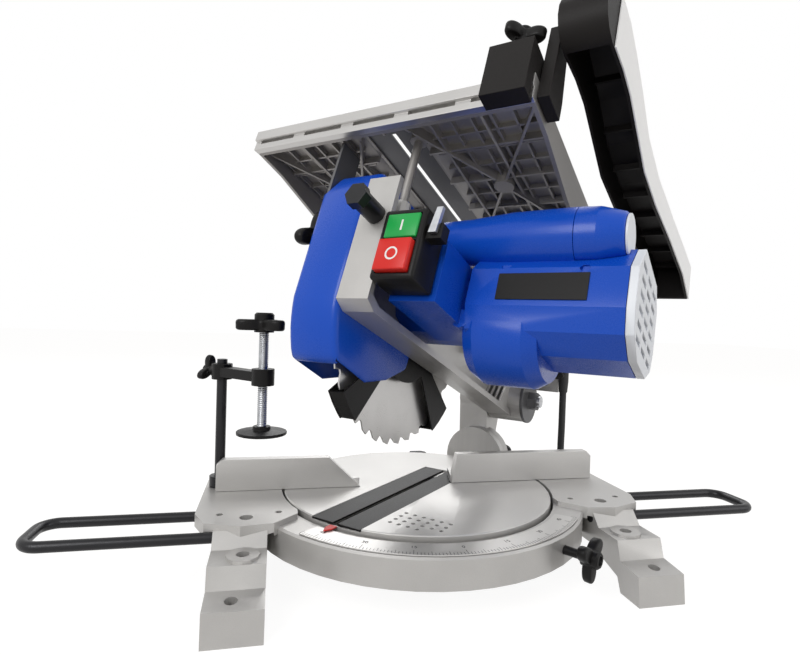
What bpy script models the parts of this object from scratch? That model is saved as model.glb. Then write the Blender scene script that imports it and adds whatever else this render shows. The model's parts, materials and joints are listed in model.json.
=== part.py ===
"""Miter saw with an upper saw table, as a jointed assembly.

Run with: blender --background --factory-startup --python part.py
Units are metres, +Z is up, +X runs along the fence and +Y points to the back.
The origin lies on the turntable's axis, on the bench.
At rest the turntable is at its left 45 degree stop and the head is part way down.
"""

import math

import bmesh
import bpy
from mathutils import Vector

# Fits and counts shared by all pieces
gap = 0.0003
overrun = 0.004
merge_distance = 0.00001
big_steps = 52
round_steps = 28
small_steps = 12
lobe_steps = 24

# Base casting
disc_radius = 0.150
disc_gap = 0.003
ring_radius = 0.1834
ring_top = 0.0601
ring_bottom = 0.032
ring_chamfer = 0.002
ring_wall = 0.005
ledge_inner_radius = 0.128
ledge_top = 0.046
ledge_bottom = 0.040
table_height = 0.0653
hub_radius = 0.026
hub_bottom = 0.002
hub_top = 0.016
spoke_bottom = 0.004
spoke_top = 0.013
spoke_width = 0.014
spoke_count = 6
spoke_rise_radius = 0.140
rear_opening_deg = 65
ear_inner = 0.166
ear_outer = 0.214
ear_back = 0.036
ear_pad_front = 0.098
ear_step_front = 0.142
ear_step_height = 0.0477
ear_foot_front = 0.1786
ear_foot_height = 0.027
ear_heel = 0.156
ear_wall = 0.006
ear_sink = 0.005
ear_under = 0.027
wing_inner = 0.138
wing_outer = 0.234
wing_thickness = 0.012
wing_back = 0.042
wing_corner = 0.022
rear_foot_radius = 0.016
rear_foot_turn_deg = 16
boss_radius = 0.0145
boss_top = 0.0500
boss_bottom = 0.030
boss_x = 0.186
boss_y = 0.1259
foot_hole_radius = 0.0055
foot_hole_x = 0.1925
foot_hole_y = 0.162
top_hole_radius = 0.0065
top_hole_y = 0.0805
screw_hole_radius = 0.0035
screw_hole_depth = 0.009
screw_hole_places = (0.156, 0.211)
screw_hole_y = 0.070

# Fence
fence_face = 0.0013
fence_thickness = 0.011
fence_foot_depth = 0.036
fence_foot_height = 0.008
fence_height = 0.034
fence_outer = 0.222
fence_inner_left = 0.066
fence_inner_right = 0.042
fence_lean_left = 0.036
fence_lean_right = 0.006
fence_rib_thickness = 0.006
fence_rib_count = 3
fence_bolt_radius = 0.0055
fence_bolt_height = 0.005
fence_bolt_shank = 0.003
fence_bolt_y = 0.030
fence_bolt_places = (0.100, 0.205)
hex_socket_radius = 0.0024
hex_socket_depth = 0.003

# Extension bars
rod_radius = 0.005
rod_fit = 0.0004
bar_reach = 0.378
bar_height = 0.053
bar_front_y = 0.094
bar_rear_y = 0.038
bar_corner = 0.017
bar_front_inner = 0.164
bar_rear_inner = 0.184
bar_tube_detail = 3
corner_steps = 5

# Scale ring on the base
scale_inner = 0.1575
scale_outer = 0.1805
scale_thickness = 0.0012
scale_half_angle_deg = 50
scale_steps = 26

# Mitre lock
lock_azimuth_deg = -55
lock_height = 0.046
lock_reach = 0.203
lock_stem_radius = 0.0042
lock_knob_scale = 0.8

# Lobed knobs
knob_tip = 0.0285
knob_valley = 0.0095
knob_thickness = 0.011
knob_hub_radius = 0.010
knob_hub_height = 0.018
knob_power = 1.6

# Work clamp
post_x = 0.220
post_y = 0.020
post_radius = 0.0055
post_top = 0.206
post_seat_radius = 0.011
post_seat_height = 0.012
arm_bottom = 0.184
arm_top = 0.201
arm_half_width = 0.0085
post_hub_radius = 0.011
screw_x = 0.175
screw_y = 0.034
screw_radius = 0.0052
screw_groove = 0.0008
screw_bottom = 0.1425
screw_hub_radius = 0.0115
clamp_knob_base = 0.240
pad_bottom = 0.134
pad_radius = 0.0255
pad_rim = 0.003
pad_boss_radius = 0.009
wing_knob_reach = 0.010
wing_knob_tip = 0.0165
wing_knob_valley = 0.007
wing_knob_thickness = 0.009
wing_knob_stem = 0.003

# Turntable
mitre_rest_deg = -45
disc_thickness = 0.012
disc_skirt_inner = 0.138
trough_half_width = 0.0155
trough_wall = 0.0025
trough_bottom = 0.0165
trough_front = 0.1210
trough_back = 0.052
slot_front = 0.1485
slot_back = 0.046
slot_half_width = 0.009
plate_recess = 0.0025
plate_half_width = 0.029
plate_back = 0.072
plate_thickness = 0.0022
plate_slot_half = 0.003
plate_front = 0.1485
dimple_pitch = 0.0098
dimple_radius = 0.0023
dimple_depth = 0.0009
dimple_rows = 4
dimple_columns = 6
dimple_first_x = 0.040
dimple_first_y = 0.116
pointer_length = 0.015
pointer_half_width = 0.004
pointer_thickness = 0.0012
pivot_bolt_radius = 0.010
pivot_shank_radius = 0.006
pivot_bolt_height = 0.005
rear_arm_half = 0.030
rear_arm_back = 0.168
rear_boss_front = 0.1565
tilt_disc_radius = 0.042
tilt_bolt_radius = 0.008

# Tilt bracket
pivot_y = 0.195
pivot_z = 0.147
bracket_left = 0.030
bracket_right = 0.0117
bracket_disc_back = 0.181
lug_radius = 0.0275
pivot_shaft_radius = 0.008
stop_lug_right = 0.082
stop_lug_thickness = 0.010
stop_lug_half = 0.011
stop_lug_y = 0.240
stop_knob_reach = 0.033
stop_height = 0.186
stop_knob_scale = 0.62
tilt_knob_reach = 0.020
bracket_column_back = 0.030

# Head arm, in the head's frame: x right, y back and z up when the head is down
head_raise_deg = 22
blade_y = 0.2509
blade_z = 0.0043
arm_left = 0.012
arm_web = 0.0055
arm_front = 0.387
arm_front_top = 0.103
arm_front_width = 0.034
arm_front_wall = 0.006
arm_bottom_z = 0.027
arm_bottom_wall = 0.007
arm_bottom_width = 0.031
barrel_radius = 0.030
barrel_right = 0.060
barrel_cap = 0.004
barrel_cap_radius = 0.031
barrel_nut_radius = 0.0125
barrel_nut_length = 0.012
barrel_fin_count = 4
barrel_fin = 0.003
barrel_fin_pitch = 0.0075
barrel_fin_first = 0.018
arm_mid_y = 0.200
arm_mid_z = 0.058
arm_hole_radius = 0.0045
stop_post_radius = 0.0095
stop_post_length = 0.030
stop_post_x = 0.031
stop_post_z = 0.062
stop_post_hex = 0.0115
bearing_radius = 0.019
bearing_reach = 0.0045

# Blade housing
drum_left = 0.045
drum_wall = 0.0025
drum_right_wall = 0.0017
drum_front = 0.135
drum_top = 0.121
drum_shoulder = 0.088
drum_nose_back = 0.061
drum_back = 0.136
drum_edge = 0.006
drum_panel_width = 0.022
drum_panel_depth = 0.0012
drum_slot_half = 0.008

# Blade, arbor and lower guard
blade_radius = 0.125
blade_thickness = 0.0018
tooth_count = 36
tooth_depth = 0.0065
tooth_thickness = 0.0026
flange_radius = 0.022
flange_thickness = 0.003
arbor_radius = 0.008
arbor_bolt_radius = 0.0095
arbor_bolt_length = 0.008
guard_outer = 0.130
guard_rim = 0.002
guard_half_width = 0.0095
guard_plate = 0.0015
guard_hub_radius = 0.030
guard_start_deg = 228
guard_end_deg = 334
guard_window_start_deg = 243
guard_window_end_deg = 316
guard_window_radius = 0.058
guard_step_deg = 6

# Motor housing
motor_left = 0.100
motor_right = 0.237
motor_y = 0.262
motor_z = 0.021
motor_half_depth = 0.054
motor_half_height = 0.048
motor_edge = 0.004
gearbox_half_depth = 0.044
gearbox_half_height = 0.036
gearbox_y = 0.262
flange_left = 0.096
flange_right = 0.166
flange_ring_radius = 0.050
handle_y = 0.300
handle_z = 0.079
handle_radius = 0.0275
handle_neck_radius = 0.0215
handle_left = 0.022
handle_seam = 0.190
handle_end = 0.230
handle_end_radius = 0.019
end_cap_thickness = 0.007
grille_slots = 6
grille_columns = 3
grille_slot_height = 0.005
grille_slot_width = 0.021
label_left = 0.128
label_right = 0.207
label_bottom = 0.012
label_top = 0.037
label_thickness = 0.0010
vent_boss_radius = 0.0045
screw_recess_radius = 0.0045

# Switch
switch_left = 0.0475
switch_right = 0.0905
switch_bottom = -0.006
switch_top = 0.060
switch_face = 0.396
switch_depth = 0.036
switch_edge = 0.003
button_margin = 0.005
button_split = 0.030
button_gap = 0.0022
button_depth = 0.012
green_proud = 0.0015
red_proud = 0.006
lever_x = 0.0975
lever_z = 0.040
lever_length = 0.020
lever_width = 0.007
lever_thickness = 0.004
lever_pin_radius = 0.0032
lever_lug_front = 0.006
lever_lug_depth = 0.012

# Upper table, in the head's frame
table_half_width = 0.162
table_front = 0.397
table_depth = 0.330
table_top = 0.181
table_plate = 0.005
table_skirt = 0.022
table_skirt_wall = 0.004
table_rail_depth = 0.010
table_rail_height = 0.0225
rail_slot_height = 0.0035
rail_slot_depth = 0.005
rail_slot_count = 5
rail_lip = 0.003
table_slot_half = 0.032
table_slot_front = 0.120
table_slot_back = 0.105
insert_thickness = 0.003
insert_ledge = 0.004
insert_slot_half = 0.003
rib_height = 0.014
rib_thickness = 0.0026
rib_columns = 5
rib_rows = 5
rib_boss_radius = 0.011
side_skirt_drop = 0.020
side_skirt_steps = 8
guide_radius = 0.0045
guide_length = 0.146
guide_front_y = 0.350
guide_rear_y = 0.128
guide_x = 0.028
guide_sleeve_radius = 0.009
table_bracket_width = 0.030
table_bracket_thickness = 0.003
table_bracket_y = 0.362
table_bracket_bottom = 0.040
table_knob_z = 0.060

# Fence block and guard hood on the upper table
block_left = 0.121
block_right = 0.1612
block_front = 0.0135
block_height = 0.026
block_top_depth = 0.040
block_lip = 0.004
block_knob_scale = 0.72
rip_left = 0.122
rip_width = 0.018
rip_height = 0.040
rip_end = 0.322
rip_wall = 0.003
hood_arm_width = 0.030
hood_left = 0.176
hood_width = 0.040
hood_flare = 0.032
hood_pivot_y = 0.022
hood_pivot_z = 0.060
hood_nose_radius = 0.028
hood_wall = 0.0025
hood_reach = 0.383
hood_top_shares = (1.0, 0.93, 0.56, 0.0, -0.86, -1.25, -1.25, -1.18, -1.20)
hood_bottom_shares = (-1.0, -0.98, -1.15, -1.66, -2.30, -2.45, -2.35, -2.40, -2.86)
hood_place_shares = (0.0, 0.07, 0.14, 0.22, 0.32, 0.46, 0.66, 0.88, 1.0)
hood_rib_count = 8
hood_rib_height = 0.007
hood_bolt_radius = 0.008
hood_side_thickness = 0.0015

# Mains lead, guide and plug, in a frame square to the base at rest
cord_radius = 0.0045
cord_x = 0.2206
cord_y = 0.0693
cord_exit_z = 0.192
guide_rod_radius = 0.003
guide_rod_x = 0.2308
guide_rod_y = 0.0874
guide_foot_x = 0.1182
guide_foot_y = 0.0984
guide_turn_shares = ((0.0, 0.0), (7.07, -7.07), (8.57, -7.7), (11.0, -6.87))
relief_length = 0.030
coil_x = 0.174
coil_y = 0.200
coil_turns = 5.25
coil_outer = 0.062
coil_clearance = 0.0007
coil_points = 24
coil_tail = 0.060
tie_width = 0.010
tie_thickness = 0.0012
tie_fit = 0.0009
plug_length = 0.046
plug_radius = 0.018
plug_neck = 0.0075
plug_pin_radius = 0.0024
plug_pin_length = 0.019
plug_pin_spacing = 0.0095


def clear_scene():
    """Removes whatever the file opened with."""
    for thing in list(bpy.data.objects):
        bpy.data.objects.remove(thing, do_unlink=True)


def new_collection(name, helper=False):
    """A collection under the scene; a helper one is left out of renders."""
    collection = bpy.data.collections.new(name)
    bpy.context.scene.collection.children.link(collection)
    collection.hide_render = helper
    return collection


clear_scene()
parts = new_collection("miter_saw")
tools = new_collection("cutters", helper=True)


def material(name, colour, roughness, metallic=0.0):
    """A Principled material with one colour."""
    made = bpy.data.materials.new(name)
    made.use_nodes = True
    shader = made.node_tree.nodes["Principled BSDF"]
    shader.inputs["Base Color"].default_value = (*colour, 1.0)
    shader.inputs["Roughness"].default_value = roughness
    shader.inputs["Metallic"].default_value = metallic
    made.diffuse_color = (*colour, 1.0)
    return made


cast = (0.50, 0.49, 0.47)
blue = (0.010, 0.070, 0.42)
black = (0.012, 0.012, 0.013)
steel = (0.62, 0.62, 0.62)


class Form:
    """Closed shapes gathered in one mesh, each facing outwards."""

    def __init__(self):
        self.points = []
        self.faces = []

    def add(self, points, faces):
        first = len(self.points)
        self.points += [tuple(point) for point in points]
        self.faces += [tuple(first + i for i in face) for face in faces]
        return self

    def prism(self, outline, low, high, axis="z"):
        """An outline pushed from low to high along an axis: (y, z), (x, z) or (x, y)."""
        place = {
            "x": lambda u, v, w: (w, u, v),
            "y": lambda u, v, w: (u, w, v),
            "z": lambda u, v, w: (u, v, w),
        }[axis]
        count = len(outline)
        points = [place(u, v, w) for w in (low, high) for u, v in outline]
        sides = [(i, (i + 1) % count, count + (i + 1) % count, count + i) for i in range(count)]
        caps = [tuple(reversed(range(count))), tuple(range(count, 2 * count))]
        return self.add(points, sides + caps)

    def box(self, low, high):
        """A box between two corners."""
        outline = [(low[0], low[1]), (high[0], low[1]), (high[0], high[1]), (low[0], high[1])]
        return self.prism(outline, low[2], high[2])

    def cylinder(self, radius, low, high, axis="z", centre=(0.0, 0.0), steps=small_steps):
        """A round bar from low to high along an axis."""
        return self.prism(circle(radius, steps, centre), low, high, axis)

    def skin(self, points):
        """Two matching outlines, one after the other, joined by sides and closed."""
        count = len(points) // 2
        sides = [(i, (i + 1) % count, count + (i + 1) % count, count + i) for i in range(count)]
        caps = [tuple(reversed(range(count))), tuple(range(count, 2 * count))]
        return self.add(points, sides + caps)

    def turned(self, profile, axis="z", centre=(0.0, 0.0), steps=round_steps):
        """A closed outline of (radius, height) pairs turned about an axis."""
        place = {
            "x": lambda u, v, w: (w, centre[0] + u, centre[1] + v),
            "y": lambda u, v, w: (centre[0] + u, w, centre[1] + v),
            "z": lambda u, v, w: (centre[0] + u, centre[1] + v, w),
        }[axis]
        count = len(profile)
        points = []
        for step in range(steps):
            angle = math.tau * step / steps
            for radius, height in profile:
                points.append(place(radius * math.cos(angle), radius * math.sin(angle), height))
        faces = []
        for step in range(steps):
            here = step * count
            after = (step + 1) % steps * count
            for i in range(count):
                j = (i + 1) % count
                if profile[i][0] > 0 or profile[j][0] > 0:
                    faces.append((here + i, here + j, after + j, after + i))
        return self.add(points, faces)


def circle(radius, steps, centre=(0.0, 0.0), turn=0.0):
    """Points round a circle."""
    return [
        (
            centre[0] + radius * math.cos(turn + math.tau * i / steps),
            centre[1] + radius * math.sin(turn + math.tau * i / steps),
        )
        for i in range(steps)
    ]


def arc(radius, start_deg, end_deg, steps, centre=(0.0, 0.0)):
    """Points along an arc, both ends included."""
    points = []
    for i in range(steps + 1):
        angle = math.radians(start_deg + (end_deg - start_deg) * i / steps)
        points.append((centre[0] + radius * math.cos(angle), centre[1] + radius * math.sin(angle)))
    return points


def lobed(tip, valley, steps=lobe_steps):
    """The outline of a knob with three lobes."""
    points = []
    for i in range(steps):
        angle = math.tau * i / steps
        swell = (0.5 + 0.5 * math.cos(3 * angle)) ** knob_power
        radius = valley + (tip - valley) * swell
        points.append((radius * math.cos(angle), radius * math.sin(angle)))
    return points


def mirrored(outline):
    """An outline reflected from left to right, still running the same way round."""
    return [(-u, v) for u, v in reversed(outline)]


def mesh_object(name, form, collection, parent):
    """A mesh object made of a form, in its parent's frame."""
    mesh = bpy.data.meshes.new(name)
    mesh.from_pydata(form.points, [], form.faces)
    work = bmesh.new()
    work.from_mesh(mesh)
    bmesh.ops.remove_doubles(work, verts=work.verts, dist=merge_distance)
    bmesh.ops.recalc_face_normals(work, faces=work.faces)
    work.to_mesh(mesh)
    work.free()
    made = bpy.data.objects.new(name, mesh)
    collection.objects.link(made)
    made.parent = parent
    return made


def node(name, form, look, parent):
    """One sub-part."""
    made = mesh_object(name, form, parts, parent)
    made.data.materials.append(look)
    return made


def boolean(target, form, operation):
    """Adds or removes a form, which stays editable among the cutters."""
    tool = mesh_object(f"{target.name}_{operation.lower()}", form, tools, target.parent)
    tool.hide_render = True
    tool.display_type = "WIRE"
    modifier = target.modifiers.new(operation.title(), "BOOLEAN")
    modifier.operation = operation
    modifier.solver = "EXACT"
    modifier.use_self = True
    modifier.object = tool
    return target


def cut(target, form):
    return boolean(target, form, "DIFFERENCE")


def join(target, form):
    return boolean(target, form, "UNION")


def bevel(target, width, segments=2, angle_deg=40):
    """Rounds the sharp edges."""
    modifier = target.modifiers.new("Bevel", "BEVEL")
    modifier.width = width
    modifier.segments = segments
    modifier.limit_method = "ANGLE"
    modifier.angle_limit = math.radians(angle_deg)
    modifier.use_clamp_overlap = True
    return target


def empty(name, parent=None, location=(0.0, 0.0, 0.0), rotation_deg=(0.0, 0.0, 0.0)):
    """A frame that a group of pieces is parented to."""
    made = bpy.data.objects.new(name, None)
    parts.objects.link(made)
    made.parent = parent
    made.location = location
    made.rotation_euler = [math.radians(angle) for angle in rotation_deg]
    return made


def tube(name, points, radius, look, parent, detail=2):
    """A round tube along a list of points, with closed ends."""
    curve = bpy.data.curves.new(name, "CURVE")
    curve.dimensions = "3D"
    curve.bevel_depth = radius
    curve.bevel_resolution = detail
    curve.use_fill_caps = True
    spline = curve.splines.new("POLY")
    spline.points.add(len(points) - 1)
    for target, point in zip(spline.points, points):
        target.co = (*point, 1.0)
    made = bpy.data.objects.new(name, curve)
    parts.objects.link(made)
    made.parent = parent
    curve.materials.append(look)
    return made


def knob(name, look, frame, stem_from, stem_radius, base, scale=1.0):
    """A lobed knob on a stem, along the frame's own z axis."""
    form = Form().prism(
        [(u * scale, v * scale) for u, v in lobed(knob_tip, knob_valley)],
        base,
        base + knob_thickness * scale,
    )
    made = node(name, form, look, frame)
    hub = Form().cylinder(knob_hub_radius * scale, base - overrun * scale, base + knob_hub_height * scale)
    join(made, hub)
    join(made, Form().cylinder(stem_radius, stem_from, base))
    return made


# Frames
base_frame = empty("base_frame")
turn_frame = empty("turn_frame", base_frame, rotation_deg=(0.0, 0.0, mitre_rest_deg))
tilt_frame = empty("tilt_frame", turn_frame, (0.0, rear_arm_back, table_height))
head_frame = empty(
    "head_frame",
    tilt_frame,
    (0.0, pivot_y - rear_arm_back, pivot_z - table_height),
    (-head_raise_deg, 0.0, 0.0),
)
spindle_frame = empty("spindle_frame", head_frame, (0.0, -blade_y, blade_z))
guard_frame = empty("guard_frame", head_frame, (0.0, -blade_y, blade_z))
table_frame = empty("table_frame", head_frame, (0.0, -table_front, table_top))
hood_frame = empty("hood_frame", table_frame, (hood_left, hood_pivot_y, hood_pivot_z))
table_hood_frame = empty("hood_bolt_frame", table_frame, (hood_left, hood_pivot_y, hood_pivot_z))
lock_frame = empty("lock_frame", base_frame, (0.0, 0.0, lock_height), (0.0, 90.0, lock_azimuth_deg))

# Looks
cast_look = material("cast_aluminium", cast, 0.45, 0.55)
dark_cast_look = material("dark_grey_casting", (0.07, 0.07, 0.07), 0.5, 0.3)
blue_look = material("blue_plastic", blue, 0.28)
black_look = material("black_plastic", black, 0.38)
rod_look = material("black_steel", (0.016, 0.016, 0.018), 0.3, 0.5)
steel_look = material("bright_steel", steel, 0.25, 1.0)
blade_look = material("blade_steel", (0.60, 0.59, 0.57), 0.3, 0.9)
white_look = material("pale_plastic", (0.78, 0.80, 0.83), 0.4)
green_look = material("green_button", (0.02, 0.33, 0.07), 0.35)
red_look = material("red_button", (0.62, 0.03, 0.02), 0.35)
rubber_look = material("black_rubber", (0.014, 0.014, 0.015), 0.6)
brass_look = material("plug_pins", (0.62, 0.62, 0.60), 0.25, 1.0)


def base_casting():
    """The cast ring with its two ears, ledge, hub, wings and rear feet."""
    rim = disc_radius + disc_gap
    ring = [
        (ring_radius, ring_bottom),
        (ring_radius, ring_top - ring_chamfer),
        (ring_radius - ring_chamfer, ring_top),
        (rim, ring_top),
        (rim, ledge_top),
        (ledge_inner_radius, ledge_top),
        (ledge_inner_radius, ledge_bottom),
        (rim + ring_wall, ledge_bottom),
        (rim + ring_wall, ring_top - ring_wall),
        (ring_radius - ring_wall, ring_top - ring_wall),
        (ring_radius - ring_wall, ring_bottom),
    ]
    made = node("base_casting", Form().turned(ring, steps=big_steps), cast_look, base_frame)
    cut(made, rear_opening_form(rim - gap))
    join(made, Form().cylinder(hub_radius, hub_bottom, hub_top, steps=round_steps))
    join(made, spoke_form())
    for side in (-1, 1):
        join(made, ear_form(side))
        join(made, wing_form(side))
        join(made, Form().cylinder(boss_radius, boss_bottom, boss_top, centre=(side * boss_x, -boss_y)))
    join(made, rear_feet_form())
    cut(made, Form().cylinder(rim - gap, ledge_top + gap / 3, table_height + overrun, steps=big_steps))
    under = Form()
    holes = Form()
    for side in (-1, 1):
        low, high = sorted((side * (ear_inner + ear_wall), side * (ear_outer - ear_wall)))
        under.box((low, -bar_front_y, ring_bottom - 2 * overrun), (high, ear_back - ear_wall, ledge_bottom + overrun))
        holes.cylinder(post_radius + gap, 0.0, table_height, centre=(side * boss_x, -boss_y))
        holes.cylinder(foot_hole_radius, -overrun, table_height, centre=(side * foot_hole_x, -foot_hole_y))
        holes.cylinder(top_hole_radius, ring_bottom, table_height + overrun, centre=(side * boss_x, -top_hole_y))
        for place in screw_hole_places:
            holes.cylinder(
                screw_hole_radius,
                table_height - screw_hole_depth,
                table_height + overrun,
                centre=(side * place, -screw_hole_y),
                steps=small_steps // 2,
            )
    holes.cylinder(
        post_radius + gap, table_height - 2 * wing_thickness, table_height + overrun, centre=(-post_x, post_y)
    )
    holes.cylinder(pivot_shank_radius + gap, hub_bottom - overrun, hub_top + overrun)
    cut(made, under)
    cut(made, holes)
    rods = Form()
    for side in (-1, 1):
        for inner, y in ((bar_front_inner, bar_front_y), (bar_rear_inner, bar_rear_y)):
            ends = sorted((side * (inner - overrun), side * bar_reach))
            rods.cylinder(rod_radius + rod_fit, *ends, axis="x", centre=(-y, bar_height))
    cut(made, rods)
    lock = mesh_object("lock_bore", Form().cylinder(
        lock_stem_radius + gap, disc_radius, ring_radius + overrun
    ), tools, lock_frame)
    lock.hide_render = True
    lock.display_type = "WIRE"
    modifier = made.modifiers.new("Lock bore", "BOOLEAN")
    modifier.operation = "DIFFERENCE"
    modifier.solver = "EXACT"
    modifier.object = lock
    return made


def spoke_form():
    """Spokes that join the hub to the ledge, low enough to pass under the turntable's trough."""
    form = Form()
    half = spoke_width / 2
    profile = [
        (hub_radius - overrun, spoke_bottom),
        (ledge_inner_radius - overrun, spoke_bottom),
        (disc_radius, spoke_bottom * 5),
        (disc_radius, ledge_bottom + ring_wall / 2),
        (spoke_rise_radius, ledge_bottom + ring_wall / 2),
        (ledge_inner_radius, spoke_top),
        (hub_radius - overrun, spoke_top),
    ]
    for i in range(spoke_count):
        angle = math.tau * (i + 0.5) / spoke_count
        along = Vector((math.cos(angle), math.sin(angle)))
        across = Vector((-math.sin(angle), math.cos(angle))) * half
        points = []
        for sign in (-1, 1):
            for radius, height in profile:
                spot = along * radius + across * sign
                points.append((spot.x, spot.y, height))
        form.skin(points)
    return form


def ear_form(side):
    """One ear: a leg that steps down from the table to the foot."""
    top = table_height - ear_sink
    profile = [
        (ear_back, top),
        (-ear_pad_front, top),
        (-ear_pad_front - ear_wall * 2, ear_step_height),
        (-ear_step_front, ear_step_height),
        (-ear_step_front - ear_wall, ear_foot_height + ear_wall / 2),
        (-ear_foot_front + ear_wall / 2, ear_foot_height),
        (-ear_foot_front, 0.0),
        (-ear_heel + ear_wall, 0.0),
        (-ear_heel + 2 * ear_wall, ear_foot_height / 2),
        (-bar_front_y, ear_under),
        (ear_back, ear_under),
    ]
    return Form().prism(profile, *sorted((side * ear_inner, side * ear_outer)), axis="x")


def wing_form(side):
    """The table surface beside the turntable, with rounded front corners."""
    outline = [
        (side * wing_inner, wing_back),
        (side * wing_inner, -ear_pad_front + wing_corner),
        (side * (wing_inner + wing_corner), -ear_pad_front),
        (side * (wing_outer - 2 * wing_corner), -ear_pad_front - wing_corner / 5),
        (side * (wing_outer - wing_corner / 2), -ear_pad_front + wing_corner / 3),
        (side * wing_outer, -ear_pad_front + wing_corner * 1.5),
        (side * wing_outer, wing_back),
    ]
    return Form().prism(outline, table_height - wing_thickness, table_height)


def rear_feet_form():
    """Two short posts under the ledge's outer edge, at the back."""
    form = Form()
    for side in (-1, 1):
        angle = math.radians(90 + side * (90 - rear_foot_turn_deg))
        radius = disc_radius + disc_gap + rear_foot_radius / 2
        centre = (radius * math.cos(angle), radius * math.sin(angle))
        form.cylinder(rear_foot_radius, 0.0, ring_top - ring_wall / 2, centre=centre)
    return form


def fence(side, inner, lean, name):
    """One half of the fence: an upright face on a foot, with ribs behind."""
    bottom = table_height + gap
    top = table_height + fence_height
    face = [
        (side * inner, bottom),
        (side * fence_outer, bottom),
        (side * fence_outer, top - fence_rib_thickness),
        (side * (fence_outer - fence_rib_thickness), top),
        (side * (inner + lean), top),
    ]
    made = node(name, Form().prism(face, -fence_face, fence_thickness - fence_face, axis="y"), cast_look, base_frame)
    foot = [
        (side * inner, fence_thickness / 2),
        (side * fence_outer, fence_thickness / 2),
        (side * fence_outer, fence_foot_depth),
        (side * (inner + lean), fence_foot_depth),
    ]
    join(made, Form().prism(foot, bottom, bottom + fence_foot_height))
    ribs = Form()
    span = fence_outer - inner - lean - fence_rib_thickness
    web = [
        (fence_thickness / 2, bottom + fence_foot_height / 2),
        (fence_foot_depth - fence_rib_thickness, bottom + fence_foot_height / 2),
        (fence_thickness / 2, top - fence_rib_thickness),
    ]
    for i in range(fence_rib_count):
        x = inner + lean + span * (i + 0.4) / fence_rib_count
        low, high = sorted((side * x, side * (x + fence_rib_thickness)))
        ribs.prism(web, low, high, axis="x")
    join(made, ribs)
    holes = Form()
    for place in fence_bolt_places:
        holes.cylinder(
            fence_bolt_shank + gap, bottom - overrun, bottom + fence_foot_height + overrun, centre=(side * place, fence_bolt_y)
        )
    if side < 0:
        holes.cylinder(post_seat_radius + gap, bottom - overrun, bottom + fence_foot_height + overrun,
                       centre=(-post_x, post_y))
    cut(made, holes)
    return made


def socket_screw(name, centre, bottom, parent, look):
    """A socket-head screw standing on a surface, with its shank below."""
    form = Form().cylinder(fence_bolt_radius, bottom + gap, bottom + fence_bolt_height, centre=centre)
    made = node(name, form, look, parent)
    join(made, Form().cylinder(fence_bolt_shank, bottom - fence_foot_height + gap, bottom + 2 * gap, centre=centre))
    socket = Form().prism(
        circle(hex_socket_radius, 6, centre), bottom + fence_bolt_height - hex_socket_depth, bottom + fence_bolt_height + overrun
    )
    cut(made, socket)
    return made


def extension_bar(side, name):
    """A U-shaped rod that slides out of the ear."""
    y_front = -bar_front_y
    y_rear = -bar_rear_y
    reach = bar_reach - rod_radius
    front_corner = arc(bar_corner, 270, 360, corner_steps, (reach - bar_corner, y_front + bar_corner))
    rear_corner = arc(bar_corner, 0, 90, corner_steps, (reach - bar_corner, y_rear - bar_corner))
    route = [(bar_front_inner, y_front)] + front_corner + rear_corner + [(bar_rear_inner, y_rear)]
    points = [(side * x, y, bar_height) for x, y in route]
    return tube(name, points, rod_radius, rod_look, base_frame, bar_tube_detail)


def scale_ring():
    """The thin plate with the angle scale, on the front of the ring."""
    start = -90 - scale_half_angle_deg
    end = -90 + scale_half_angle_deg
    outline = arc(scale_outer, start, end, scale_steps) + arc(scale_inner, end, start, scale_steps)
    form = Form().prism(outline, ring_top + gap, ring_top + gap + scale_thickness)
    return node("angle_scale", form, cast_look, base_frame)


def mitre_lock():
    """The knob that clamps the turntable, at the ring's front right."""
    base = ring_radius + gap
    form = Form().prism(
        [(u * lock_knob_scale, v * lock_knob_scale) for u, v in lobed(knob_tip, knob_valley)],
        lock_reach, lock_reach + knob_thickness * lock_knob_scale,
    )
    made = node("mitre_lock_knob", form, black_look, lock_frame)
    join(made, Form().cylinder(knob_hub_radius * lock_knob_scale, base, lock_reach + knob_hub_height * lock_knob_scale))
    join(made, Form().cylinder(lock_stem_radius, disc_radius + disc_gap + gap, lock_reach))
    return made


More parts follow.
